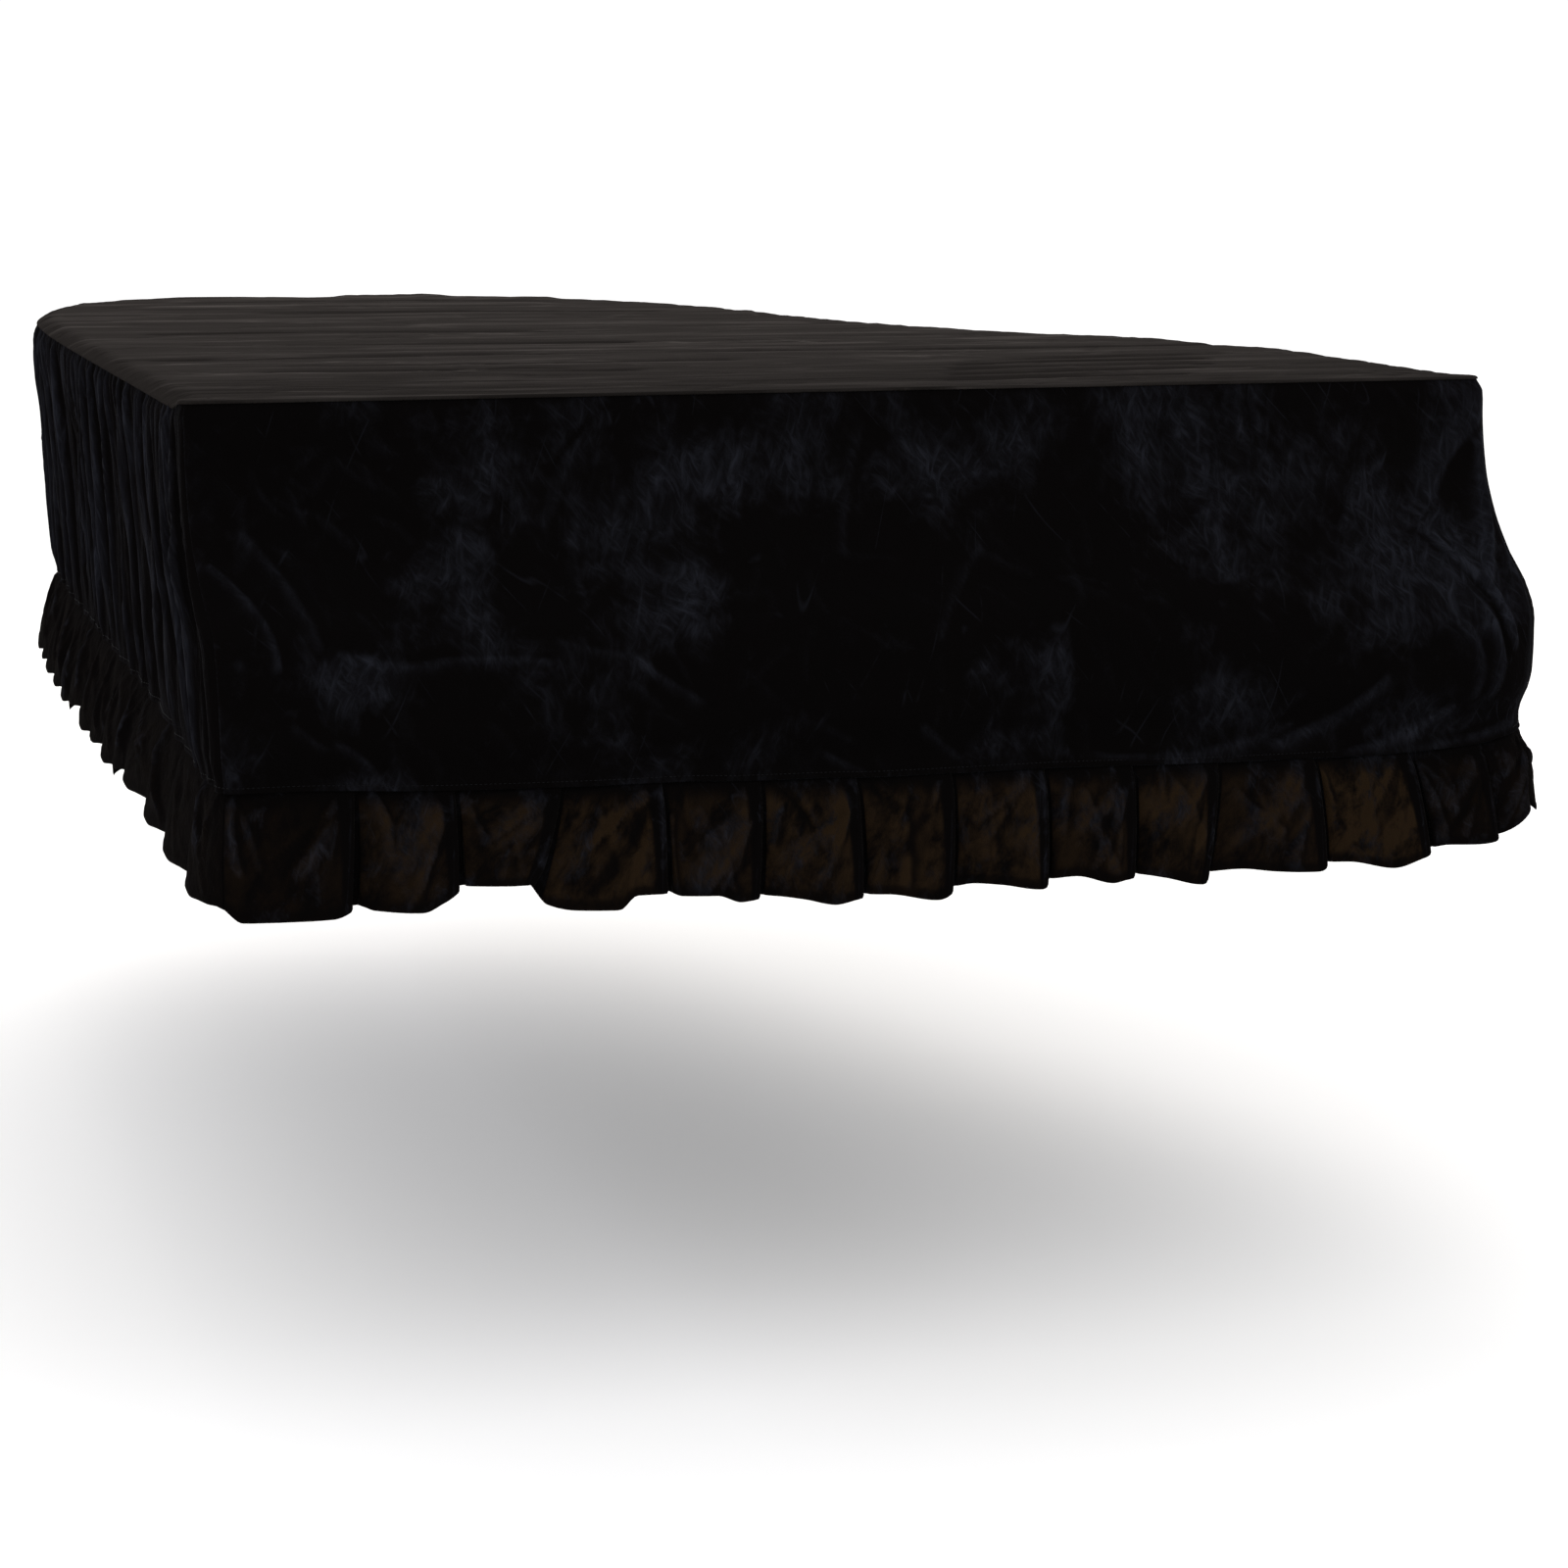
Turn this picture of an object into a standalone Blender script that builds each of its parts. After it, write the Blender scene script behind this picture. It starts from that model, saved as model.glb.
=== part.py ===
"""Grand piano cover: a fitted velvet cover with gathered sides and a knife-pleated ruffle.

Metres, +Z up. The origin is on the underside of the top panel, on the line that halves the front edge.
+X runs along the front edge to its right end, +Y runs from the front edge to the tail end.
"""
import math

import bpy
import numpy as np
from mathutils import Vector, geometry

# The whole cover
WIDTH = 1.496
FRONT_Y = -0.75
CLOTH = 0.002
SEAM_GAP = 0.0005

# The top panel
EDGE_TURN = 0.012
EDGE_ROLL = 0.026
FRONT_TURN = 0.003
FRONT_ROLL = 0.005
CORNER_ZONE = 0.060
CROSS_LINE_Y = 0.56
CROSS_LINE_STEP = 0.004
CROSS_LINE_WIDTH = 0.018
SOFT_WAVE = 0.0012
SOFT_WAVE_LENGTH_X = 0.70
SOFT_WAVE_LENGTH_Y = 0.90
SOFT_WAVE_STARTS_OVER = 0.2
# The rings of points in from its edge, the columns of points round it, and the net that fills it
TOP_RINGS = (0.0, 0.007, 0.016, 0.028)
TOP_FRONT_COLUMNS = 15
TOP_BACK_COLUMNS = 60
TOP_LEFT_CORNER = (-0.008, 0.0, 0.008)
TOP_RIGHT_CORNER = (-0.010, 0.0, 0.010)
TOP_GRID = 0.13
TOP_GRID_CLEAR_OF_RINGS = 0.35 * TOP_GRID
TOP_ROWS_AT_CROSS_LINE = (-0.035, 0.0, 0.035)

# The outline of the top behind its right front corner, as (x, y from the front edge), anticlockwise
OUTLINE = (
    (0.748, 0.000), (0.746, 0.400), (0.715, 0.560), (0.655, 0.690), (0.560, 0.820), (0.455, 0.970),
    (0.385, 1.130), (0.345, 1.320), (0.300, 1.500), (0.205, 1.670), (0.050, 1.775), (-0.150, 1.825),
    (-0.330, 1.865), (-0.470, 1.865), (-0.590, 1.800), (-0.680, 1.660), (-0.728, 1.480), (-0.745, 1.280),
    (-0.748, 0.000),
)

# How far the cloth reaches forward of the top's front edge, at the left end, the middle and the right end
REACH_COLUMNS = ("depth", "left", "middle", "right")
REACH = (
    (0.000, 0.000, 0.000, 0.000),
    (0.050, 0.002, 0.014, 0.006),
    (0.105, 0.012, 0.044, 0.022),
    (0.150, 0.038, 0.076, 0.050),
    (0.190, 0.088, 0.108, 0.090),
    (0.225, 0.142, 0.142, 0.134),
    (0.262, 0.154, 0.156, 0.160),
    (0.315, 0.158, 0.158, 0.168),
    (0.372, 0.150, 0.150, 0.154),
    (0.420, 0.160, 0.160, 0.168),
    (0.500, 0.172, 0.170, 0.180),
    (0.560, 0.170, 0.166, 0.174),
)
REACH_END_POWER = 3
REACH_FADES_OVER = 0.48

# How round the cover's two front corners are and how far the cloth swells outwards, going down: all round the
# cover, and more at its right front corner; behind the front it leans in
CORNER_COLUMNS = ("depth", "left_radius", "right_radius", "swell", "right_swell", "lean")
CORNERS = (
    (0.000, 0.012, 0.016, 0.000, 0.000, 0.000),
    (0.020, 0.012, 0.018, 0.000, 0.006, 0.001),
    (0.120, 0.014, 0.030, 0.000, 0.007, 0.010),
    (0.230, 0.024, 0.060, 0.001, 0.010, 0.018),
    (0.320, 0.026, 0.080, 0.000, 0.014, 0.019),
    (0.372, 0.026, 0.080, -0.006, 0.016, 0.012),
    (0.440, 0.028, 0.110, 0.003, 0.024, 0.002),
    (0.520, 0.030, 0.130, 0.008, 0.026, 0.002),
)
RIGHT_SWELL_FROM_X = 0.45

# The heights of the seam above the ruffle and of the ruffle's hem along the front, as (x, z): the hem hangs
# lowest at each pleat's fold edge and steps up past it
FRONT_SEAM = (
    (-0.748, -0.3710), (-0.670, -0.3720), (-0.610, -0.3750), (-0.550, -0.3790), (-0.470, -0.3820),
    (-0.350, -0.3850), (-0.260, -0.3860), (-0.200, -0.3890), (-0.110, -0.3910), (-0.040, -0.3935),
    (0.064, -0.3945), (0.140, -0.3950), (0.240, -0.3975), (0.330, -0.4000), (0.440, -0.4015),
    (0.530, -0.4020), (0.590, -0.3995), (0.655, -0.3950), (0.700, -0.3900), (0.748, -0.3860),
)
FRONT_HEM = (
    (-0.748, -0.4820), (-0.728, -0.4945), (-0.640, -0.4937), (-0.612, -0.4860), (-0.596, -0.4910),
    (-0.550, -0.4945), (-0.528, -0.4855), (-0.503, -0.4740), (-0.440, -0.4740), (-0.418, -0.4990),
    (-0.390, -0.5055), (-0.346, -0.5068), (-0.327, -0.4925), (-0.296, -0.4930), (-0.274, -0.4998),
    (-0.240, -0.5000), (-0.215, -0.5075), (-0.196, -0.5060), (-0.174, -0.5070), (-0.145, -0.5110),
    (-0.110, -0.5180), (-0.081, -0.5135), (-0.050, -0.5135), (0.005, -0.5212), (0.026, -0.5140),
    (0.048, -0.5090), (0.078, -0.5112), (0.124, -0.5182), (0.144, -0.5115), (0.168, -0.5090),
    (0.208, -0.5176), (0.224, -0.5148), (0.242, -0.5136), (0.270, -0.5172), (0.316, -0.5265),
    (0.332, -0.5175), (0.365, -0.5148), (0.405, -0.5190), (0.456, -0.5218), (0.476, -0.5162),
    (0.498, -0.5155), (0.546, -0.5227), (0.580, -0.5120), (0.614, -0.5003), (0.655, -0.4992),
    (0.690, -0.4930), (0.712, -0.4850), (0.730, -0.4740), (0.748, -0.4610),
)
# The same heights behind the front, by the share of the way round from the left front corner
HANG_COLUMNS = ("share", "seam_z", "hem_z")
HANG = (
    (0.249, -0.386, -0.461),
    (0.275, -0.382, -0.478),
    (0.330, -0.374, -0.480),
    (0.480, -0.366, -0.468),
    (0.640, -0.358, -0.460),
    (0.770, -0.362, -0.462),
    (0.900, -0.366, -0.464),
    (0.970, -0.370, -0.472),
    (1.000, -0.371, -0.482),
)

# The gathered skirt, from the top's edge seam to the ruffle's seam
GATHER_PITCH = 0.074
GATHER_UNEVEN = 0.34
GATHER_DEPTH = 0.008
GATHER_DEPTH_UNEVEN = 0.45
GATHER_FADES_OVER = 0.035
# How far a crest wanders sideways on its way down, in pitches, and how soon it turns back
GATHER_WANDER = 0.10
GATHER_WANDER_TURNS = 3.1
GATHER_WANDER_STEP = 1.7
GATHER_COLUMNS = ("share_down", "share_of_depth")
GATHER = ((0.0, 0.30), (0.18, 0.80), (0.62, 1.00), (0.90, 0.75), (1.0, 0.30))
# Rows of points going down, closer where the cloth turns forward: the front corners and the plain sides
CORNER_ROWS = (0.0, 0.28, 0.41, 0.51, 0.61, 0.80, 1.0)
SIDE_ROWS = (0.0, 0.28, 0.61, 0.85, 1.0)

# Soft folds of the front panel: where each crosses the top edge, how it slants, how wide and how deep it is
FRONT_FOLD_COLUMNS = ("x", "slant", "width", "depth", "from_share", "to_share")
FRONT_FOLDS = (
    (-0.66, -0.05, 0.050, 0.005, 0.35, 0.75),
    (-0.46, 0.10, 0.070, 0.003, 0.10, 0.70),
    (-0.20, -0.08, 0.090, 0.003, 0.20, 0.95),
    (0.10, 0.06, 0.080, -0.003, 0.05, 0.80),
    (0.36, -0.10, 0.070, 0.003, 0.15, 0.90),
    (0.60, -0.16, 0.050, 0.006, 0.02, 0.55),
    (0.68, 0.05, 0.035, -0.005, 0.30, 0.80),
)
FRONT_COLUMNS = 32
FRONT_COLUMNS_DRAWN_TO_CORNERS = 0.10

# The fold edges of the ruffle's pleats along the front, as (x at the seam, x at the hem)
FRONT_PLEATS = (
    (-0.609, -0.622), (-0.507, -0.513), (-0.396, -0.436), (-0.289, -0.295), (-0.182, -0.196),
    (-0.076, -0.081), (0.032, 0.020), (0.139, 0.130), (0.243, 0.232), (0.346, 0.320),
    (0.463, 0.466), (0.578, 0.588), (0.665, 0.672),
)
PLEAT_PITCH = 0.104
PLEAT_UNEVEN = 0.13
HEM_UNEVEN = 0.008
HEM_LOBE = 0.010

# One pleat's folded section from its fold edge on: a share of the panel's width, a distance past that, and a
# height outwards, both at the seam, where the three layers lie flat, and at the hem, where the fold opens
# into a wave; the last column is how far the hem of a side's pleat hangs down near its fold edge
PLEAT_SECTION_COLUMNS = ("share", "past_seam", "out_seam", "past_hem", "out_hem", "lobe")
PLEAT_SECTION = (
    (0.00, 0.0020, 0.0080, 0.0060, 0.0170, 0.8),
    (0.22, 0.0000, 0.0076, 0.0000, 0.0165, 1.0),
    (0.50, 0.0000, 0.0060, 0.0000, 0.0115, 0.6),
    (0.78, 0.0000, 0.0035, 0.0000, 0.0040, 0.3),
    (1.00, -0.0060, 0.0010, -0.0120, -0.0030, 0.0),
    (1.00, 0.0120, 0.0005, -0.0010, -0.0070, 0.0),
    (1.00, 0.0145, 0.0023, 0.0035, -0.0040, 0.0),
    (1.00, 0.0120, 0.0042, 0.0030, 0.0010, 0.0),
    (1.00, 0.0020, 0.0042, 0.0000, 0.0080, 0.2),
    (1.00, -0.0005, 0.0061, 0.0000, 0.0140, 0.6),
)
RUFFLE_ROWS = (0.0, 0.5, 1.0)
RUFFLE_SET_IN = 0.004

# Where each width of cloth ends, by the distance round the outline behind the right front corner
RIGHT_SIDE = 0.50
BENT_SIDE = 1.30
TAIL_SIDE = 1.36

# Finishes: base colour, roughness and metallic value
VELVET = ("crushed_velvet", (0.012, 0.012, 0.015, 1.0), 0.85, 0.0)


def uneven(number, seed=0.0):
    """A fixed, irregular value from -1 to 1 for each whole number."""
    return 2.0 * ((number * 0.618034 + seed + 0.31 * math.sin(number * 2.7 + seed * 5.0)) % 1.0) - 1.0


def smooth_step(value):
    """0 below 0, 1 above 1 and a smooth rise between."""
    share = np.clip(value, 0.0, 1.0)
    return share * share * (3.0 - 2.0 * share)


def table(rows, columns, column, by):
    """One column of a table, read at a value of its first column."""
    values = np.array(rows)
    return np.interp(by, values[:, 0], values[:, columns.index(column)])


def curve_through(points, steps=24):
    """Close points along a centripetal Catmull-Rom curve through the given ones."""
    given = [np.array(point, float) for point in points]
    given = [2 * given[0] - given[1]] + given + [2 * given[-1] - given[-2]]
    run = []
    for a, b, c, d in zip(given, given[1:], given[2:], given[3:]):
        t1 = math.sqrt(np.linalg.norm(b - a))
        t2 = t1 + math.sqrt(np.linalg.norm(c - b))
        t3 = t2 + math.sqrt(np.linalg.norm(d - c))
        for step in range(steps):
            t = t1 + (t2 - t1) * step / steps
            ab = a * (t1 - t) / t1 + b * t / t1
            bc = b * (t2 - t) / (t2 - t1) + c * (t - t1) / (t2 - t1)
            cd = c * (t3 - t) / (t3 - t2) + d * (t - t2) / (t3 - t2)
            abc = ab * (t2 - t) / t2 + bc * t / t2
            bcd = bc * (t3 - t) / (t3 - t1) + cd * (t - t1) / (t3 - t1)
            run.append(abc * (t2 - t) / (t2 - t1) + bcd * (t - t1) / (t2 - t1))
    run.append(given[-2])
    return np.array(run)


def measure_round(points):
    """The distance travelled at each point of a run."""
    return np.concatenate([[0.0], np.cumsum(np.linalg.norm(np.diff(points, axis=0), axis=1))])


# The loop round the cover starts at the left front corner and runs along the front first
BACK_RUN = curve_through(OUTLINE) + (0.0, FRONT_Y)
BACK_PLACES = WIDTH + measure_round(BACK_RUN)
ROUND = BACK_PLACES[-1]
BENT_START = WIDTH + RIGHT_SIDE
TAIL_START = BENT_START + BENT_SIDE
LEFT_START = TAIL_START + TAIL_SIDE


def sharp_outline(place):
    """Points of the outline at distances round it, with sharp front corners."""
    place = np.mod(place, ROUND)
    on_front = place < WIDTH
    x = np.where(on_front, place - WIDTH / 2, np.interp(place, BACK_PLACES, BACK_RUN[:, 0]))
    y = np.where(on_front, FRONT_Y, np.interp(place, BACK_PLACES, BACK_RUN[:, 1]))
    return x, y


def outline(place, depth):
    """Points of the outline at distances round it, its front corners rounder the lower they are."""
    x, y = sharp_outline(place)
    for corner_place, sign, name in ((0.0, -1, "left_radius"), (WIDTH, 1, "right_radius")):
        radius = table(CORNERS, CORNER_COLUMNS, name, depth)
        along = np.mod(place - corner_place + ROUND / 2, ROUND) - ROUND / 2
        turn = (along / radius + 1.0) * math.pi / 4
        start = math.pi if sign < 0 else -math.pi / 2
        centre_x = sign * (WIDTH / 2 - radius)
        near = np.abs(along) < radius
        x = np.where(near, centre_x + radius * np.cos(start + turn), x)
        y = np.where(near, FRONT_Y + radius + radius * np.sin(start + turn), y)
    return x, y


def outward(place, depth, step=0.003):
    """The level direction that points away from the cover, at distances round it."""
    x0, y0 = outline(place - step, depth)
    x1, y1 = outline(place + step, depth)
    length = np.hypot(x1 - x0, y1 - y0)
    return (y1 - y0) / length, (x0 - x1) / length


def front_share(y):
    """1 along the front, fading to 0 back along the sides."""
    return 1.0 - smooth_step((y - FRONT_Y) / REACH_FADES_OVER)


def forward_reach(x, y, depth):
    """How far the cloth stands forward here."""
    left = table(REACH, REACH_COLUMNS, "left", depth)
    middle = table(REACH, REACH_COLUMNS, "middle", depth)
    right = table(REACH, REACH_COLUMNS, "right", depth)
    across = np.clip(x / (WIDTH / 2), -1.0, 1.0)
    end = np.where(across < 0, left, right)
    reach = middle + (end - middle) * np.abs(across) ** REACH_END_POWER
    return reach * front_share(y)


def wall(place, depth, out):
    """A point of the hanging cloth: round the outline, below the top, and pushed out by a fold."""
    x, y = outline(place, depth)
    nx, ny = outward(place, depth)
    at_right = smooth_step((x - RIGHT_SWELL_FROM_X) / (WIDTH / 2 - RIGHT_SWELL_FROM_X)) * front_share(y)
    swell = table(CORNERS, CORNER_COLUMNS, "swell", depth)
    push = out + swell + at_right * table(CORNERS, CORNER_COLUMNS, "right_swell", depth)
    push -= (1.0 - front_share(y)) * table(CORNERS, CORNER_COLUMNS, "lean", depth)
    return np.stack([x + nx * push, y + ny * push - forward_reach(x, y, depth), -depth + 0.0 * x], -1)


def top_turn(place):
    """How far below the top the edge seam runs: least along the front."""
    along = np.mod(place - WIDTH / 2 + ROUND / 2, ROUND) - ROUND / 2
    beyond_corner = np.abs(along) - WIDTH / 2
    return FRONT_TURN + (EDGE_TURN - FRONT_TURN) * smooth_step(beyond_corner / CORNER_ZONE)


def hang(column, place):
    """The height of the ruffle's seam or hem, at distances round the cover."""
    place = np.mod(place, ROUND)
    front = FRONT_SEAM if column == "seam_z" else FRONT_HEM
    along_front = table(front, ("x", "z"), "z", place - WIDTH / 2)
    return np.where(place < WIDTH, along_front, table(HANG, HANG_COLUMNS, column, place / ROUND))


def gathers():
    """The fold crests of the skirt, from the right front corner round to the left one."""
    crests = [WIDTH]
    while crests[-1] < ROUND:
        pitch = GATHER_PITCH * (1.0 + GATHER_UNEVEN * uneven(len(crests)))
        crests.append(crests[-1] + pitch)
    crests = np.array(crests)
    return WIDTH + (crests - WIDTH) * (ROUND - WIDTH) / (crests[-1] - WIDTH)


CRESTS = gathers()
CREST_DEPTHS = np.array([GATHER_DEPTH * (1.0 + GATHER_DEPTH_UNEVEN * uneven(number, 0.4))
                         for number in range(len(CRESTS))])


def skirt_fold(place, share_down):
    """How far the skirt's gathers push the cloth out or in."""
    count = np.interp(place, CRESTS, np.arange(len(CRESTS)))
    depth = np.interp(place, CRESTS, CREST_DEPTHS)
    from_corner = np.minimum(place - WIDTH, ROUND - place)
    fade = smooth_step(from_corner / GATHER_FADES_OVER)
    wander = GATHER_WANDER * np.sin(GATHER_WANDER_TURNS * share_down + GATHER_WANDER_STEP * np.floor(count))
    size = table(GATHER, GATHER_COLUMNS, "share_of_depth", share_down)
    return depth * fade * size * np.cos(2 * math.pi * (count + wander * np.sin(math.pi * (count % 1.0)) ** 2))


def front_fold(place, share_down):
    """How far the front panel's few soft folds push the cloth out or in."""
    x = place - WIDTH / 2
    out = np.zeros_like(x)
    for fold in FRONT_FOLDS:
        row = dict(zip(FRONT_FOLD_COLUMNS, fold))
        centre = row["x"] + row["slant"] * share_down
        middle = (row["from_share"] + row["to_share"]) / 2
        half = (row["to_share"] - row["from_share"]) / 2
        ends = np.clip(1.0 - ((share_down - middle) / half) ** 2, 0.0, 1.0)
        out += row["depth"] * ends * np.exp(-((x - centre) / row["width"]) ** 2)
    from_corner = np.minimum(place, WIDTH - place)
    return out * smooth_step(from_corner / GATHER_FADES_OVER)


def hanging_point(place, share_down, fold):
    """A point of the front panel or the skirt."""
    top = top_turn(place) + SEAM_GAP
    depth = top + (-hang("seam_z", place) - top) * share_down
    return wall(place, depth, fold(place, share_down))


def ruffle_point(place, share_down, out):
    """A point of the ruffle, pushed out by its pleats."""
    top = -hang("seam_z", place) + SEAM_GAP
    depth = top + (-hang("hem_z", place) - top) * share_down
    return wall(place, depth, out - RUFFLE_SET_IN)


def grid_normals(grid):
    """The outward direction at each point of a grid of rows going down and columns going round."""
    along = np.gradient(grid, axis=1)
    down = np.gradient(grid, axis=0)
    normal = np.cross(down, along)
    return normal / np.linalg.norm(normal, axis=2, keepdims=True)


def level_rims(normal, rows):
    """Turns the directions in some rows level, so that a seam's two edges lie face to face."""
    for row in rows:
        normal[row, :, 2] = 0.0
        normal[row] /= np.linalg.norm(normal[row], axis=1, keepdims=True)
    return normal


def corner_rims(normal, grid_places, depths):
    """Turns the directions in the first and last columns square to the outline."""
    for column in (0, -1):
        nx, ny = outward(grid_places[:, column], depths[:, column])
        normal[:, column] = np.stack([nx, ny, 0.0 * nx], -1)
    return normal


def cloth_object(name, points, faces):
    """Makes one named object of cloth from its points and faces."""
    mesh = bpy.data.meshes.new(name)
    mesh.from_pydata([tuple(point) for point in points], [], faces)
    mesh.update()
    mesh.materials.append(finish(*VELVET))
    mesh.shade_smooth()
    mesh.set_sharp_from_angle(angle=math.radians(40.0))
    piece = bpy.data.objects.new(name, mesh)
    bpy.context.collection.objects.link(piece)
    return piece


def finish(name, colour, roughness, metallic):
    """A material with one Principled BSDF, made once."""
    material = bpy.data.materials.get(name)
    if material is None:
        material = bpy.data.materials.new(name)
        material.use_nodes = True
        shader = material.node_tree.nodes["Principled BSDF"]
        shader.inputs["Base Color"].default_value = colour
        shader.inputs["Roughness"].default_value = roughness
        shader.inputs["Metallic"].default_value = metallic
    return material


def thick_sheet(name, grid, normal):
    """Closes a grid of middle points into a sheet of cloth with two faces and four rims."""
    rows, columns = grid.shape[:2]
    half = normal * CLOTH / 2
    points = np.concatenate([(grid + half).reshape(-1, 3), (grid - half).reshape(-1, 3)])
    inner = rows * columns
    faces = []
    for row in range(rows - 1):
        for column in range(columns - 1):
            a = row * columns + column
            b, c, d = a + 1, a + columns + 1, a + columns
            faces.append((a, d, c, b))
            faces.append((inner + a, inner + b, inner + c, inner + d))
    rim = list(range(columns))
    rim += [row * columns + columns - 1 for row in range(1, rows)]
    rim += [(rows - 1) * columns + column for column in range(columns - 2, -1, -1)]
    rim += [row * columns for row in range(rows - 2, 0, -1)]
    for a, b in zip(rim, rim[1:] + rim[:1]):
        faces.append((a, b, inner + b, inner + a))
    return cloth_object(name, points, faces)


def hanging_panel(name, places, shares, fold):
    """A width of the front panel or the skirt, between the top's edge and the ruffle's seam."""
    place, share = np.meshgrid(places, shares)
    grid = hanging_point(place, share, fold)
    normal = level_rims(corner_rims(grid_normals(grid), place, -grid[:, :, 2]), (0, -1))
    return thick_sheet(name, grid, normal)


def make_skirt(name, start, end, rows):
    """A width of the gathered skirt, with columns on each gather's crest, trough and two slopes."""
    numbers = np.arange(len(CRESTS))
    first, last = 4 * np.interp([start, end], CRESTS, numbers)
    quarters = np.arange(math.ceil(first + 0.4), math.floor(last - 0.4) + 1) / 4
    inside = np.interp(quarters, numbers, CRESTS)
    places = np.concatenate([[start + SEAM_GAP / 2], inside, [end - SEAM_GAP / 2]])
    return hanging_panel(name, places, rows, skirt_fold)


def make_front_panel():
    """The smooth panel along the front, its columns closer at the two rounded corners."""
    even = np.linspace(0.0, 1.0, FRONT_COLUMNS)
    drawn = even - FRONT_COLUMNS_DRAWN_TO_CORNERS * np.sin(2 * math.pi * even)
    places = SEAM_GAP / 2 + (WIDTH - SEAM_GAP) * drawn
    return hanging_panel("front_panel", places, CORNER_ROWS, front_fold)


def side_pleats(start, end):
    """Fold edges of the ruffle's pleats on a side, unevenly spaced, with how low each panel hangs."""
    count = round((end - start) / PLEAT_PITCH)
    pitch = (end - start) / count
    edges = [start + pitch * (number + PLEAT_UNEVEN * uneven(number, start)) for number in range(1, count)]
    lower = [HEM_UNEVEN * uneven(number, start + 0.2) for number in range(count)]
    return edges, lower


def pleat_columns(seam_bounds, hem_bounds, lower, lobe):
    """The columns of points across folded pleats: place and height at the seam and the hem, and hem drop."""
    section = [dict(zip(PLEAT_SECTION_COLUMNS, row)) for row in PLEAT_SECTION]
    last_flat = [fold["share"] for fold in section].index(1.0)
    columns = [plain_column(seam_bounds[0])]
    for number, low in enumerate(lower):
        first_fold = 1 if number == 0 else 0
        end_fold = last_flat if number == len(lower) - 1 else len(section)
        for fold in section[first_fold:end_fold]:
            seam, hem = (bounds[number] + (bounds[number + 1] - bounds[number]) * fold["share"]
                         for bounds in (seam_bounds, hem_bounds))
            columns.append({"seam": seam + fold["past_seam"], "hem": hem + fold["past_hem"],
                            "out_seam": fold["out_seam"], "out_hem": fold["out_hem"],
                            "low": low + lobe * fold["lobe"]})
    return columns + [plain_column(seam_bounds[-1])]


def plain_column(place):
    """The column at which a width of the ruffle ends, unfolded."""
    return {"seam": place, "hem": place, "out_seam": RUFFLE_SET_IN, "out_hem": RUFFLE_SET_IN, "low": 0.0}


def front_pleat_columns():
    """The front's columns, its fold edges lying the other way: laid out from the right, then turned round."""
    first, last = SEAM_GAP / 2, WIDTH - SEAM_GAP / 2
    seam, hem = ([WIDTH - last, *(WIDTH / 2 - row[side] for row in reversed(FRONT_PLEATS)), WIDTH - first]
                 for side in (0, 1))
    columns = pleat_columns(seam, hem, [0.0] * (len(FRONT_PLEATS) + 1), 0.0)
    return [{**column, "seam": WIDTH - column["seam"], "hem": WIDTH - column["hem"]}
            for column in reversed(columns)]


def side_pleat_columns(start, end):
    """The columns of a side's pleats."""
    edges, lower = side_pleats(start, end)
    bounds = [start + SEAM_GAP / 2, *edges, end - SEAM_GAP / 2]
    return pleat_columns(bounds, bounds, lower, HEM_LOBE)


def make_ruffle(name, columns):
    """A width of the ruffle, folded into knife pleats whose fold edges all lie the same way."""
    seam, hem, out_seam, out_hem, low = (np.array([column[value] for column in columns])
                                         for value in ("seam", "hem", "out_seam", "out_hem", "low"))
    share = np.repeat(np.array(RUFFLE_ROWS)[:, None], len(columns), axis=1)
    place = seam + (hem - seam) * share
    grid = ruffle_point(place, share, out_seam + (out_hem - out_seam) * share)
    grid[:, :, 2] -= low * share
    normal = level_rims(corner_rims(grid_normals(grid), place, -grid[:, :, 2]), (0,))
    return thick_sheet(name, grid, normal)


def top_height(x, y, inward, place):
    """The height of the top's middle layer: level, rolled down at its edge and stepped at the cross line."""
    roll = np.where(top_turn(place) < (EDGE_TURN + FRONT_TURN) / 2, FRONT_ROLL, EDGE_ROLL)
    fall = (1.0 - np.clip(inward / roll, 0.0, 1.0)) ** 2 * (top_turn(place) - CLOTH / 2)
    step = CROSS_LINE_STEP * np.exp(-((y - FRONT_Y - CROSS_LINE_Y) / CROSS_LINE_WIDTH) ** 2)
    soft = SOFT_WAVE * smooth_step(inward / SOFT_WAVE_STARTS_OVER)
    soft *= np.cos(2 * math.pi * x / SOFT_WAVE_LENGTH_X) * np.sin(2 * math.pi * y / SOFT_WAVE_LENGTH_Y)
    return CLOTH / 2 - fall + (soft - step) * smooth_step(inward / EDGE_ROLL)


def top_places():
    """The places round the edge at which the top's rings have points, closest at the two front corners."""
    left, right = CORNER_ZONE / 2, WIDTH - CORNER_ZONE / 2
    places = [WIDTH + near for near in TOP_RIGHT_CORNER] + [near % ROUND for near in TOP_LEFT_CORNER]
    places += list(np.linspace(left, right, TOP_FRONT_COLUMNS))
    places += list(np.linspace(2 * WIDTH - right, ROUND - left, TOP_BACK_COLUMNS))
    return np.array(sorted(places))


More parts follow.
